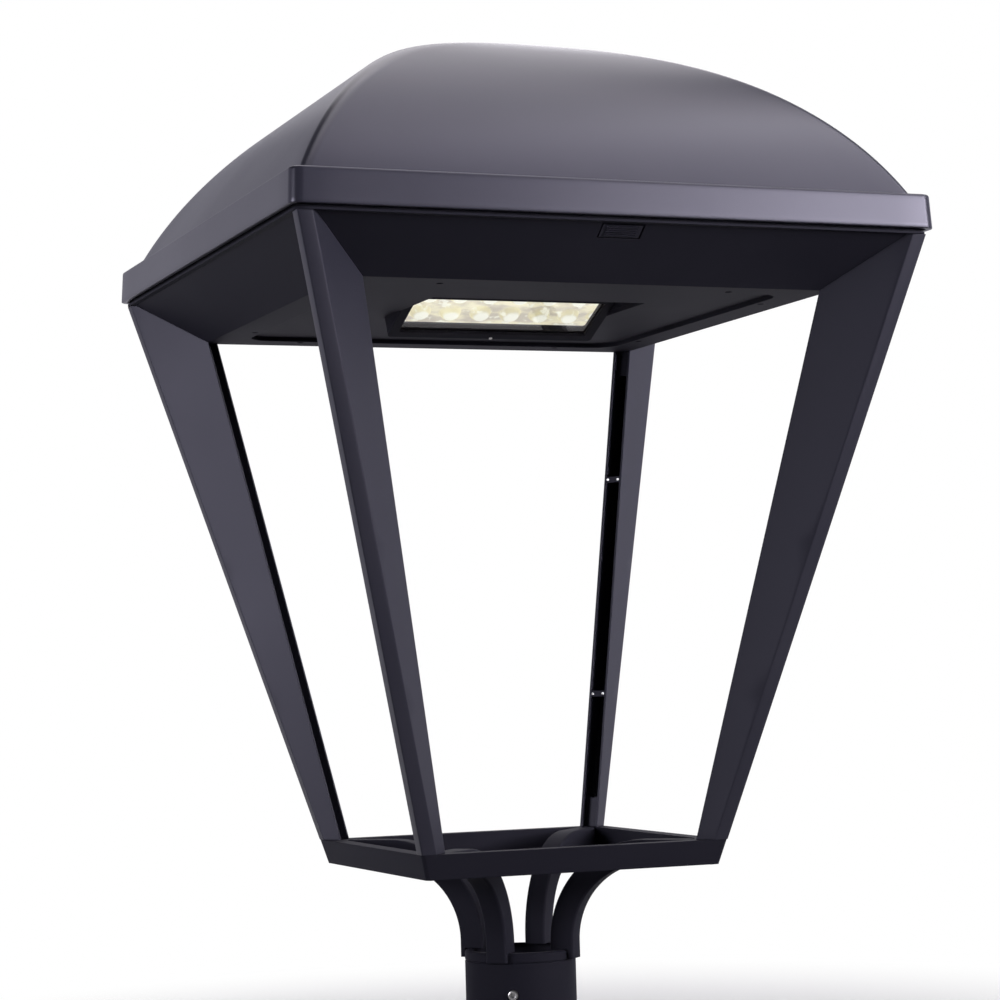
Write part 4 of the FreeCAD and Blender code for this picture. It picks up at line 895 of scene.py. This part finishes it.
# ----------------------------------------------------------------------------------------
# Fasteners
# ----------------------------------------------------------------------------------------
def separate_bodies(node: str) -> List[np.ndarray]:
    """Take a CAD node apart.

    Args:
        node: the node's name.

    Returns:
        The points of each of its separate bodies.
    """
    shape = bmesh.new()
    shape.from_mesh(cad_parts[node].data)
    bmesh.ops.remove_doubles(shape, verts=shape.verts, dist=WELD_GAP)
    bodies: List[np.ndarray] = []
    seen = set()
    for start in shape.verts:
        if start in seen:
            continue
        seen.add(start)
        reached = [start]
        for vert in reached:
            near = {edge.other_vert(vert) for edge in vert.link_edges} - seen
            seen |= near
            reached.extend(near)
        bodies.append(np.array([vert.co[:] for vert in reached]))
    shape.free()
    return bodies


@dataclass(frozen=True)
class Fastener:
    """A screw as it stands: its head's middle, where it looks, and its sizes."""

    rim_share: ClassVar[float] = 0.97
    level_slack: ClassVar[float] = 0.01 * MM
    plain_shank: ClassVar[float] = 0.9
    socket_share: ClassVar[float] = 0.50
    socket_depth: ClassVar[float] = 0.7
    mouth_share: ClassVar[float] = 1.22
    mouth_depth: ClassVar[float] = 0.2
    edge_share: ClassVar[float] = 0.25
    edge_cut: ClassVar[float] = 0.3
    point_share: ClassVar[float] = 0.2

    place: Vector
    facing: Vector
    length: float
    head_radius: float
    head_height: float
    shank_radius: float

    @classmethod
    def measured(cls, points: np.ndarray) -> "Fastener":
        """Measure a screw.

        Args:
            points: the points of its CAD body.

        Returns:
            The screw.
        """
        spread, axes = np.linalg.eigh(np.cov(points.T))
        odd = 2 if spread[2] - spread[1] > spread[1] - spread[0] else 0
        own = points @ axes
        middle = (own.max(axis=0) + own.min(axis=0)) / 2
        along = own[:, odd] - middle[odd]
        off = np.linalg.norm(np.delete(own - middle, odd, axis=1), axis=1)
        head = along[off > off.max() * cls.rim_share]
        side = 1.0 if head.mean() >= 0 else -1.0
        top, under = (along * side).max(), (head * side).min()
        shank = off[along * side < under - cls.level_slack]
        axis = axes[:, odd] * side
        radius = float(off.max())
        return cls(
            place=Vector(axes @ middle + axis * top), facing=Vector(axis),
            length=float(top - (along * side).min()), head_radius=radius,
            head_height=float(top - under),
            shank_radius=float(shank.max()) if len(shank) else radius * cls.plain_shank)

    def mesh(self, name: str, steps: int = 24) -> bpy.types.Mesh:
        """Return the screw with a hexagonal socket, its head's face up at the origin.

        Args:
            name: the mesh's name.
            steps: how many points go round it.

        Returns:
            The closed mesh.
        """
        radius, height = self.head_radius, self.head_height
        socket = radius * self.socket_share
        depth = min(height * self.socket_depth, self.length / 2)
        edge = min(radius, height) * self.edge_share
        cut, point = edge * self.edge_cut, self.shank_radius * self.point_share
        # A negative size is a hexagon's, from its middle to a corner.
        profile = [
            (0.0, -depth), (-socket, -depth), (-socket, -edge * self.mouth_depth),
            (socket * self.mouth_share, 0.0),
            (radius - edge, 0.0), (radius - cut, -cut), (radius, -edge),
            (radius, -height), (self.shank_radius, -height),
            (self.shank_radius, point - self.length),
            (self.shank_radius - point, -self.length), (0.0, -self.length)]
        rings: List[Ring] = []
        for size, level in profile:
            ring: Ring = []
            for step in range(steps):
                angle = math.tau * step / steps
                flat = math.cos((angle % (math.pi / 3)) - math.pi / 6)
                reach = -size * math.cos(math.pi / 6) / flat if size < 0 else size
                ring.append(Vector((reach * math.cos(angle), reach * math.sin(angle), level)))
            rings.append(ring)
        mesh = bridge(rings, name)
        close_seams(mesh, FINE_GAP)
        smooth(mesh, crease=30.0)
        return mesh


def repeated(name: str, shape: bpy.types.Mesh, places: Sequence[Tuple[Vector, Vector]],
             material: bpy.types.Material) -> bpy.types.Mesh:
    """Repeat a shape by geometry nodes, its upper side turned to each place's direction.

    Args:
        name: the new mesh's name.
        shape: what is repeated.
        places: a point and a direction for each copy.
        material: the copies' material.

    Returns:
        All the copies as one mesh.
    """
    spots = bpy.data.meshes.new(f"{name}_places")
    spots.from_pydata([place for place, _ in places], [], [])
    facing = spots.attributes.new("facing", "FLOAT_VECTOR", "POINT")
    for item, (_, way) in zip(facing.data, places):
        item.vector = way
    pattern = bpy.data.objects.new(f"{name}_pattern", shape)
    bpy.context.collection.objects.link(pattern)
    tree = ShapeTree(name)
    source = tree.given("Pattern", pattern, "Object")
    size = tree.given("Copy Scale", 1.0)
    points = tree.node("GeometryNodeMeshToPoints", None, {"Mesh": tree.places})
    way = tree.node("GeometryNodeInputNamedAttribute", {"data_type": "FLOAT_VECTOR"},
                    {"Name": "facing"})
    turn = tree.node("FunctionNodeAlignRotationToVector", {"axis": "Z"}, {"Vector": way})
    copy = tree.node("GeometryNodeObjectInfo", None, {"Object": source}, "Geometry")
    copies = tree.node("GeometryNodeInstanceOnPoints", None, {
        "Points": points, "Instance": copy, "Rotation": turn, "Scale": size})
    tree.finish(copies, material)
    mesh = tree.mesh(name, spots)
    bpy.data.objects.remove(pattern)
    return mesh


# ----------------------------------------------------------------------------------------
# The roof
# ----------------------------------------------------------------------------------------
@dataclass
class Roof:
    """The domed canopy with its skirt, the hinge leaves and the keeper."""

    shop: Workshop
    skirt_height: float = 25.8 * MM
    skirt_drop: float = 0.8 * MM
    skirt_draft: float = 1.2 * MM
    skirt_wall: float = 3.5 * MM
    skirt_corner: float = 9.0 * MM
    skirt_edge: float = 2.2 * MM
    lower_edge: float = 0.8 * MM
    dome_radius: float = 267.0 * MM
    dome_wall: float = 3.0 * MM
    ridge_radius: float = 8.0 * MM
    ridge_fade: float = 1.6
    crown_share: float = 0.92
    crown_least: float = 0.01 * MM
    corner_guard: float = 0.0001
    foot_band: float = 0.3 * MM
    rib_thickness: float = 4.0 * MM
    rib_foot: float = 630.5 * MM
    side_steps: int = 20
    corner_steps: int = 12
    dome_rows: int = 60
    face_rows: int = 8
    edge_rows: int = 6
    half: float = field(init=False)
    low: float = field(init=False)
    top: float = field(init=False)

    def __post_init__(self) -> None:
        """Take the roof's width and levels from the frame."""
        low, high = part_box("roof_canopy")
        self.half, self.top, self.low = high.x, high.z, low.z - self.skirt_drop

    @property
    def ledge(self) -> float:
        """Return the height of the ledge round the dome's foot."""
        return self.low + self.skirt_height

    @property
    def centre(self) -> float:
        """Return the height of the centre of the dome's curve."""
        return self.top - self.dome_radius

    def foot_half(self, radius: float, level: float) -> float:
        """Return half the dome's width at its foot."""
        return math.sqrt(radius ** 2 - (level - self.centre) ** 2)

    def dome(self, name: str, radius: float, foot: float,
             material: bpy.types.Material) -> bpy.types.Mesh:
        """Return a dome of rounded squares that follow a circle.

        Args:
            name: the mesh's name.
            radius: the radius of the circle.
            foot: the height of the dome's foot.
            material: its material.

        Returns:
            The dome, open at its foot.
        """
        tree = ShapeTree(name)
        size = tree.given("Dome Radius", radius)
        centre = tree.given("Centre Height", self.centre)
        start = tree.given("Foot Angle", math.asin((foot - self.centre) / radius))
        ridge = tree.given("Ridge Radius", self.ridge_radius)
        fade = tree.given("Ridge Fade", self.ridge_fade)
        straight_share = tree.given(
            "Straight Share", self.side_steps / (self.side_steps + self.corner_steps))
        columns = tree.given("Columns", 4 * (self.side_steps + self.corner_steps) + 1, "Int")
        rows = tree.given("Rows", self.dome_rows + 1, "Int")
        grid = tree.node("GeometryNodeMeshGrid", None, {
            "Size X": 1.0, "Size Y": 1.0, "Vertices X": columns, "Vertices Y": rows})
        u, v, _ = tree.parts(tree.node("GeometryNodeInputPosition"))
        around = (u + 0.5) * 4
        quarter = (around + self.corner_guard).math("FLOOR").least(3.0)
        local = around - quarter
        straight = (local / straight_share).least(1.0)
        arc = ((local - straight_share) / (1 - straight_share)).most(0.0)
        angle = start + (v + 0.5) * (QUARTER_TURN - start)
        half = size * angle.math("COSINE")
        foot_half = size * start.math("COSINE")
        growth = (foot_half / half.most(self.crown_least)) ** fade
        radius_here = (ridge * growth).least(half * self.crown_share)
        run = half - radius_here
        bend = arc * QUARTER_TURN
        x = run + radius_here * bend.math("COSINE")
        y = run * (straight * 2 - 1) + radius_here * bend.math("SINE")
        turn = quarter * QUARTER_TURN
        level = centre + size * angle.math("SINE")
        moved = tree.node("GeometryNodeSetPosition", None, {
            "Geometry": grid,
            "Position": tree.vector(
                x * turn.math("COSINE") - y * turn.math("SINE"),
                x * turn.math("SINE") + y * turn.math("COSINE"), level)})
        sealed = tree.node("GeometryNodeMergeByDistance", None, {
            "Geometry": moved, "Distance": SEAM_GAP})
        tree.finish(sealed, material)
        return tree.mesh(name)

    def ring(self, half: float, radius: float, level: float) -> Ring:
        """Return a ring whose points match the dome's."""
        return rounded_ring(half, radius, level, self.side_steps, self.corner_steps)

    def skirt_rings(self) -> List[Ring]:
        """Lay out the skirt.

        Returns:
            The rings from the dome's inner foot, round the skirt, to its outer foot.
        """
        upper = self.half - self.skirt_draft
        inner = upper - self.skirt_wall
        inner_corner = self.skirt_corner - self.skirt_wall
        ledge_inner = self.ledge - self.dome_wall
        inner_radius = self.dome_radius - self.dome_wall
        inner_foot = self.foot_half(inner_radius, ledge_inner)
        rib = inner_foot + self.rib_thickness
        rings = [
            self.ring(inner_foot, self.ridge_radius, ledge_inner),
            self.ring(inner_foot, self.ridge_radius, self.rib_foot),
            self.ring(rib, self.ridge_radius + self.rib_thickness, self.rib_foot),
            self.ring(rib, self.ridge_radius + self.rib_thickness, ledge_inner),
            self.ring(inner, inner_corner, ledge_inner),
            self.ring(inner, inner_corner, self.low + self.lower_edge),
            self.ring(inner + self.lower_edge, inner_corner + self.lower_edge, self.low),
        ]
        for share in (0.0, 0.5, 1.0):
            angle = QUARTER_TURN * share
            pull = self.lower_edge * (1 - math.sin(angle))
            rings.append(self.ring(self.half - pull, self.skirt_corner - pull,
                                   self.low + self.lower_edge * (1 - math.cos(angle))))
        for step in range(1, self.face_rows):
            share = step / self.face_rows
            rings.append(self.ring(
                self.half - self.skirt_draft * share, self.skirt_corner,
                self.low + self.lower_edge
                + (self.skirt_height - self.skirt_edge - self.lower_edge) * share))
        for step in range(self.edge_rows + 1):
            angle = QUARTER_TURN * step / self.edge_rows
            pull = self.skirt_edge * (1 - math.cos(angle))
            rings.append(self.ring(upper - pull, self.skirt_corner - pull,
                                   self.ledge - self.skirt_edge * (1 - math.sin(angle))))
        foot = self.foot_half(self.dome_radius, self.ledge)
        rings.append(self.ring(
            foot + self.foot_band, self.ridge_radius + self.foot_band, self.ledge))
        rings.append(self.ring(foot, self.ridge_radius, self.ledge))
        return rings

    def casting(self) -> bpy.types.Mesh:
        """Join the dome's two faces and the skirt.

        Returns:
            The whole canopy casting as one closed mesh.
        """
        material = self.shop.finishes[Slot.COAT]
        outer = self.dome("dome_outer", self.dome_radius, self.ledge, material)
        inner = self.dome("dome_inner", self.dome_radius - self.dome_wall,
                          self.ledge - self.dome_wall, material)
        skirt = bridge(self.skirt_rings(), "skirt")
        mesh = bpy.data.meshes.new("canopy_casting")
        with opened(mesh) as whole:
            for part in (outer, inner, skirt):
                whole.from_mesh(part)
                bpy.data.meshes.remove(part)
        close_seams(mesh)
        smooth(mesh, crease=35.0)
        return mesh

    def build(self) -> None:
        """Build and dress the roof."""
        self.shop.add("canopy_casting", self.casting(), Slot.COAT, Body.CANOPY,
                      ["roof_canopy"])
        self.shop.dress("canopy_hinge_leaves", Slot.COAT)
        self.shop.screws("hinge_screws", Body.CANOPY)
        self.shop.dress("latch_keeper", Slot.STEEL)


# ----------------------------------------------------------------------------------------
# The pan with its panel, latch and hinges
# ----------------------------------------------------------------------------------------
@dataclass
class Pan:
    """The lower housing, its bottom panel and what holds them."""

    shop: Workshop

    def build(self) -> None:
        """Build and dress the pan."""
        # The pan, the brackets, the panel and its screws take the dull coat, whose darker colour is
        # painted shade.
        self.shop.refine("lower_housing", Slot.DULL_PAINTED_SHADE, Body.LANTERN)
        self.shop.refine("hinge_brackets", Slot.DULL_PAINTED_SHADE, Body.LANTERN)
        self.shop.dress("canopy_gasket", Slot.RUBBER)
        self.shop.dress("bottom_panel", Slot.DULL_PAINTED_SHADE)
        self.shop.screws("panel_screws", Body.LANTERN, Slot.DULL_PAINTED_SHADE)
        self.shop.dress("hinge_pins", Slot.STEEL)


@dataclass
class Latch:
    """The push button on the front slope with its spring and bracket."""

    shop: Workshop
    slope_normal: Vector = field(default_factory=lambda: Vector((0, -0.598, -0.801)))
    face_depth: float = 6.0 * MM
    face_gap: float = 0.9 * MM
    spring_turns: float = 5.0
    travel: float = 4.0 * MM
    wire_share: float = 0.11
    coil_steps: int = 28
    wire_steps: int = 10

    def grip(self) -> bpy.types.Mesh:
        """Shape the button.

        Returns:
            The button, with its face drawn in from the edges of its opening.
        """
        mesh = merged_copy("latch_button")
        up = Vector((1, 0, 0)).cross(self.slope_normal)
        outer = max(vert.co.dot(self.slope_normal) for vert in mesh.vertices)
        face = [vert for vert in mesh.vertices
                if vert.co.dot(self.slope_normal) > outer - self.face_depth]
        reach = max(abs(vert.co.x) for vert in face)
        levels = [vert.co.dot(up) for vert in face]
        middle, half = (max(levels) + min(levels)) / 2, (max(levels) - min(levels)) / 2
        for vert in face:
            vert.co.x *= 1 - self.face_gap / reach
            vert.co += up * (middle - vert.co.dot(up)) * (self.face_gap / half)
        return mesh

    def spring(self) -> bpy.types.Mesh:
        """Wind the spring by geometry nodes.

        Returns:
            The spring: wire along a spiral.
        """
        low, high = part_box("latch_spring")
        wire = (high.x - low.x) / 2 * self.wire_share
        tree = ShapeTree("spring_wire")
        coil = tree.given("Coil Radius", (high.x - low.x) / 2 - wire)
        length = tree.given("Length", high.y - low.y - wire * 2)
        turns = tree.given("Turns", self.spring_turns)
        thick = tree.given("Wire Radius", wire)
        spiral = tree.node("GeometryNodeCurveSpiral", None, {
            "Resolution": self.coil_steps, "Rotations": turns, "Start Radius": coil,
            "End Radius": coil, "Height": length})
        placed = tree.node("GeometryNodeTransform", None, {
            "Geometry": spiral, "Rotation": (QUARTER_TURN, 0, 0),
            "Translation": ((high.x + low.x) / 2, high.y - wire, (high.z + low.z) / 2)})
        section = tree.node("GeometryNodeCurvePrimitiveCircle", None, {
            "Resolution": self.wire_steps, "Radius": thick})
        tube = tree.node("GeometryNodeCurveToMesh", None, {
            "Curve": placed, "Profile Curve": section, "Fill Caps": True})
        tree.finish(tube, self.shop.finishes[Slot.STEEL])
        mesh = tree.mesh("latch_spring_wire")
        close_seams(mesh, FINE_GAP)
        smooth(mesh, crease=40.0)
        return mesh

    def build(self) -> None:
        """Build and dress the latch."""
        self.shop.add("latch_grip", self.grip(), Slot.BUTTON, Body.BUTTON, ["latch_button"])
        spring = self.shop.add("latch_spring_wire", self.spring(), Slot.STEEL, Body.LANTERN,
                               ["latch_spring"])
        low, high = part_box("latch_spring")
        1 - self.travel / (high.y - low.y)
        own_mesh(spring)
        self.shop.dress("latch_bracket", Slot.SHEET)


# ----------------------------------------------------------------------------------------
# The light module
# ----------------------------------------------------------------------------------------
@dataclass
class LightModule:
    """The tilted light window and the module behind it."""

    shop: Workshop

    def build(self) -> None:
        """Build and dress the light module."""
        # The bezel, the light housing and the shroud take the dull coat, whose darker colour is
        # painted shade.
        self.shop.refine("light_bezel", Slot.DULL_PAINTED_SHADE, Body.LANTERN)
        self.shop.refine("lens_array", Slot.LENS, Body.LANTERN)
        self.shop.screws("bezel_screws", Body.LANTERN)
        self.shop.dress("window_glass", Slot.GLASS)
        self.shop.dress("glass_seal", Slot.RUBBER)
        self.shop.dress("light_chips", Slot.CHIP)
        self.shop.dress("circuit_board", Slot.BOARD)
        self.shop.dress("light_housing", Slot.DULL_PAINTED_SHADE)
        self.shop.dress("heat_sink", Slot.ALUMINIUM)
        self.shop.dress("light_shroud", Slot.DULL_PAINTED_SHADE)


@dataclass
class Gear:
    """The tray under the roof with the driver and the supply terminals."""

    shop: Workshop
    finishes: Dict[str, Slot] = field(default_factory=lambda: {
        "gear_tray": Slot.SHEET,
        "led_driver": Slot.CASE,
        "surge_protector": Slot.CASE,
        "terminal_block": Slot.TERMINAL,
        "cable_clamp": Slot.BUTTON,
    })
    screw_sets: Tuple[str, ...] = (
        "tray_screws", "driver_screws", "terminal_screws", "clamp_screws")

    def build(self) -> None:
        """Dress the gear and make its screws."""
        for node, slot in self.finishes.items():
            self.shop.dress(node, slot)
        for node in self.screw_sets:
            self.shop.screws(node, Body.LANTERN)


# ----------------------------------------------------------------------------------------
# What stands below the roof
# ----------------------------------------------------------------------------------------
@dataclass
class Stand:
    """The legs, the bottom frame, the arms and the collar."""

    shop: Workshop
    corners: Tuple[str, ...] = ("front_left", "front_right", "back_right", "back_left")
    screw_sets: Tuple[str, ...] = ("collar_set_screws", "leg_foot_bolts", "leg_head_bolts")
    rivet_radius: float = 1.1 * MM
    rivet_height: float = 0.5 * MM
    rivet_shank: float = 0.6
    rivet_inset: float = 1.3
    rivet_steps: int = 16

    def clip_rivets(self) -> bpy.types.Mesh:
        """Make the channel clips' rivets.

        Returns:
            The rivets, at both ends of each clip's open face.
        """
        one = Fastener(Vector(), Vector((0, 0, 1)), self.rivet_height * 2, self.rivet_radius,
                       self.rivet_height, self.rivet_radius * self.rivet_shank)
        places: List[Tuple[Vector, Vector]] = []
        for points in separate_bodies("channel_clips"):
            low, high = points.min(axis=0), points.max(axis=0)
            middle = Vector((low + high) / 2)
            inward = Vector((-middle.x, -middle.y, 0)).normalized()
            across = Vector((0, 0, 1)).cross(inward)
            rows = [Vector(point) - middle for point in points]
            face = max(row.dot(inward) for row in rows) + self.rivet_height
            reach = (max(row.dot(across) for row in rows)
                     - self.rivet_radius * self.rivet_inset)
            for side in (-1, 1):
                places.append((middle + inward * face + across * reach * side, inward))
        return repeated("clip_rivets", one.mesh("rivet_one", self.rivet_steps), places,
                        self.shop.finishes[Slot.STEEL])

    def build(self) -> None:
        """Build and dress the stand."""
        # The legs take the half dull coat and the arms, frame and collar the dull coat; their
        # darker colours are painted shade.
        for corner in self.corners:
            self.shop.refine(f"leg_{corner}", Slot.HALF_DULL_PAINTED_SHADE, Body.LANTERN)
            self.shop.refine(f"arm_{corner}", Slot.DULL_PAINTED_SHADE, Body.LANTERN)
        self.shop.refine("bottom_frame", Slot.DULL_PAINTED_SHADE, Body.LANTERN)
        self.shop.refine("post_collar", Slot.DULL_PAINTED_SHADE, Body.LANTERN)
        self.shop.refine("channel_clips", Slot.BUTTON, Body.LANTERN)
        self.shop.add("clip_rivets", self.clip_rivets(), Slot.STEEL, Body.LANTERN)
        for node in self.screw_sets:
            self.shop.screws(node, Body.LANTERN)


# ----------------------------------------------------------------------------------------
# The studio
# ----------------------------------------------------------------------------------------
@dataclass(frozen=True)
class SoftLamp:
    """A large square soft lamp."""

    name: str
    place: Tuple[float, float, float]
    width: float
    power: float
    colour: Colour
    aim: Tuple[float, float, float] = (0.0, 0.0, 0.5)
    spread: float = 180.0

    def make(self) -> None:
        """Hang the lamp."""
        data = bpy.data.lights.new(self.name, "AREA")
        data.shape = "SQUARE"
        data.size = self.width
        data.energy = self.power
        data.spread = math.radians(self.spread)
        data.color = self.colour
        lamp = bpy.data.objects.new(self.name, data)
        lamp.location = self.place
        way = Vector(self.aim) - Vector(self.place)
        lamp.rotation_euler = way.to_track_quat("-Z", "Y").to_euler()
        bpy.context.collection.objects.link(lamp)


@dataclass
class Studio:
    """The floor, the light and the camera."""

    camera_place: Tuple[float, float, float] = (-0.7764, -1.9584, 0.3062)
    yaw: float = 0.3807
    pitch: float = 0.0481
    roll: float = -0.0278
    clip: Span = (0.05, 200.0)
    focal_pixels: float = 2663.63
    middle_x: float = 517.61
    middle_y: float = 544.02
    image: float = 1000.0
    sensor: float = 36.0
    floor_half: float = 30.0
    floor_pale: Colour = (0.80, 0.80, 0.80)
    floor_bounce: Colour = (0.06, 0.06, 0.06)
    white_from: Span = (0.28, 0.75)
    mirror_from: Span = (0.6, 2.6)
    floor_front: Span = (-1.2, 0.4)
    backdrop_top: Span = (0.15, 0.72)
    backdrop_front: Span = (-0.6, 0.5)
    front_share: float = 0.2
    mirror_level: float = 0.7
    mirror_tint: Colour = (0.88, 0.86, 1.0)
    sky_light: float = 0.033
    sky_colour: Colour = (0.95, 0.96, 1.0)
    lamps: Tuple[SoftLamp, ...] = (
        SoftLamp("key", (1.93, -2.3, 1.15), 1.4, 10.0, (1.0, 0.99, 1.03), (0, 0, 0.82), 42.0),
        SoftLamp("top", (0.25, 0.25, 3.2), 2.4, 33.0, (1.0, 0.97, 1.0)),
        SoftLamp("top_right", (1.7, -0.8, 2.7), 2.0, 34.0, (1.0, 0.98, 1.03)),
        SoftLamp("top_back", (0.7, 2.1, 2.6), 1.8, 14.0, (1.0, 0.97, 1.0)),
        SoftLamp("back_right", (1.6, 2.6, 1.6), 1.2, 10.0, (1.0, 0.98, 1.02)),
        SoftLamp("left_side", (-3.0, -0.65, 0.75), 0.9, 38.0, (0.97, 0.98, 1.04)),
    )

    def hang_lamps(self) -> None:
        """Hang every lamp."""
        for lamp in self.lamps:
            lamp.make()

    def seen_share(self, tree: Tree, direct: Operand = 1.0, mirrored: Operand = 1.0) -> Signal:
        """Return 1 for rays that show the background: camera, glossy and transmitted ones.

        Args:
            tree: the tree that asks.
            direct: how much of the background camera rays see.
            mirrored: how much of it glossy and transmitted rays see.

        Returns:
            The share.
        """
        camera = tree.node("ShaderNodeLightPath", output="Is Camera Ray")
        glossy, through = camera.other("Is Glossy Ray"), camera.other("Is Transmission Ray")
        return (glossy.most(through) * mirrored).most(camera * direct)

    def white(self, tree: Tree) -> Signal:
        """Return the background's colour: white to the camera, a little tinted in mirrors."""
        camera = tree.node("ShaderNodeLightPath", output="Is Camera Ray")
        return tree.blend(camera, self.mirror_tint, WHITE)

    def make_world(self) -> None:
        """Make the sky: a white background and a plain even light."""
        world = bpy.data.worlds.new("studio")
        world.use_nodes = True
        bpy.context.scene.world = world
        tree = Tree(world.node_tree)
        tree.tree.nodes.clear()
        _, back, up = tree.parts(tree.node("ShaderNodeTexCoord", output="Generated"))
        behind = back.ramp(*self.backdrop_front) * (1 - self.front_share) + self.front_share
        seen = self.seen_share(
            tree, mirrored=(1 - up.ramp(*self.backdrop_top)) * behind * self.mirror_level)
        light = tree.node("ShaderNodeBackground", None, {
            "Color": (*self.sky_colour, 1.0), "Strength": self.sky_light})
        white = tree.node("ShaderNodeBackground", None, {
            "Color": self.white(tree), "Strength": 1.0})
        mixed = tree.node("ShaderNodeMixShader", None, {0: seen, 1: light, 2: white})
        tree.node("ShaderNodeOutputWorld", None, {"Surface": mixed})

    def make_floor(self) -> None:
        """Lay a pale floor, white towards the horizon, that is clear when seen from below."""
        paint = Paint("floor_white")
        across, along, _ = paint.parts(paint.place)
        distance = (across * across + along * along) ** 0.5
        behind = along.ramp(*self.floor_front)
        seen = self.seen_share(paint, mirrored=behind)
        white_share = self.seen_share(
            paint, distance.ramp(*self.white_from),
            distance.ramp(*self.mirror_from) * behind * self.mirror_level)
        lit = paint.node("ShaderNodeBsdfDiffuse", None, {
            "Color": paint.blend(seen, self.floor_bounce, self.floor_pale)})
        white = paint.node("ShaderNodeEmission", None, {
            "Color": self.white(paint), "Strength": 1.0})
        mixed = paint.node("ShaderNodeMixShader", None, {0: white_share, 1: lit, 2: white})
        under = paint.node("ShaderNodeNewGeometry", output="Backfacing")
        clear = paint.node("ShaderNodeBsdfTransparent")
        material = paint.output(
            paint.node("ShaderNodeMixShader", None, {0: under, 1: mixed, 2: clear}))
        half = self.floor_half
        mesh = bpy.data.meshes.new("floor")
        mesh.from_pydata([(-half, -half, 0), (half, -half, 0), (half, half, 0), (-half, half, 0)],
                         [], [(0, 1, 2, 3)])
        mesh.materials.append(material)
        floor = bpy.data.objects.new("floor", mesh)
        bpy.context.collection.objects.link(floor)

    def place_camera(self) -> None:
        """Place the camera at the photograph's viewing angle."""
        forward = Vector((math.sin(self.yaw) * math.cos(self.pitch),
                          math.cos(self.yaw) * math.cos(self.pitch), math.sin(self.pitch)))
        right = Vector((math.cos(self.yaw), -math.sin(self.yaw), 0.0))
        up = right.cross(forward)
        across = right * math.cos(self.roll) + up * math.sin(self.roll)
        upward = up * math.cos(self.roll) - right * math.sin(self.roll)
        data = bpy.data.cameras.new("camera")
        data.sensor_width = self.sensor
        data.lens = self.focal_pixels / self.image * self.sensor
        data.shift_x = (self.image / 2 - self.middle_x) / self.image
        data.shift_y = (self.middle_y - self.image / 2) / self.image
        data.clip_start, data.clip_end = self.clip
        camera = bpy.data.objects.new("camera", data)
        camera.matrix_world = Matrix.Translation(self.camera_place) @ Matrix(
            (across, upward, -forward)).transposed().to_4x4()
        bpy.context.collection.objects.link(camera)
        bpy.context.scene.camera = camera

    def build(self) -> None:
        """Build the studio."""
        bpy.context.scene.view_settings.view_transform = "Standard"
        self.hang_lamps()
        self.make_world()
        self.make_floor()
        self.place_camera()


def make_finishes() -> Dict[Slot, bpy.types.Material]:
    """Make the materials.

    Returns:
        One material for each finish.
    """
    kinds = {
        Slot.COAT: PowderCoat(),
        # The half dull and dull coats are the one anthracite coat made rougher and less glossy,
        # with a darker base colour that is painted shade.
        Slot.HALF_DULL_PAINTED_SHADE: PowderCoat((0.021, 0.0205, 0.031), (0.029, 0.028, 0.039), 0.45,
                                   specular=0.34),
        Slot.DULL_PAINTED_SHADE: PowderCoat((0.0135, 0.013, 0.020), (0.0195, 0.0187, 0.027), 0.68,
                              specular=0.12),
        Slot.STEEL: Metal(),
        Slot.RUBBER: Moulding((0.009, 0.009, 0.013), (0.014, 0.014, 0.019), 0.8, specular=0.2,
                              gloss_tint=COOL_GLOSS),
        Slot.ALUMINIUM: Metal((0.75, 0.76, 0.78), (0.58, 0.59, 0.60), 0.38, (80, 500, 80)),
        Slot.GLASS: PaneGlass(),
        Slot.LENS: LensGlow(),
        Slot.CHIP: ChipGlow(),
        Slot.BOARD: BoardFinish(),
        Slot.SHEET: ZincSheet(),
        Slot.CASE: Moulding((0.60, 0.60, 0.58), (0.52, 0.52, 0.50), 0.5),
        Slot.TERMINAL: Moulding((0.50, 0.51, 0.49), (0.43, 0.44, 0.42), 0.42),
        Slot.BUTTON: Moulding((0.015, 0.0145, 0.0225), (0.0215, 0.0205, 0.03), 0.6,
                              specular=0.24, gloss_tint=COOL_GLOSS),
    }
    return {slot: kind.make(slot.value) for slot, kind in kinds.items()}


def main() -> None:
    """Build every sub-assembly and the studio."""
    logging.basicConfig(level=logging.INFO, format="%(name)s: %(message)s")
    shop = Workshop(make_finishes())
    for part in (Roof(shop), Pan(shop), Latch(shop), LightModule(shop), Gear(shop), Stand(shop)):
        part.build()
        LOG.info("%s is done", type(part).__name__)
    Studio().build()


if __name__ == "__main__":
    main()
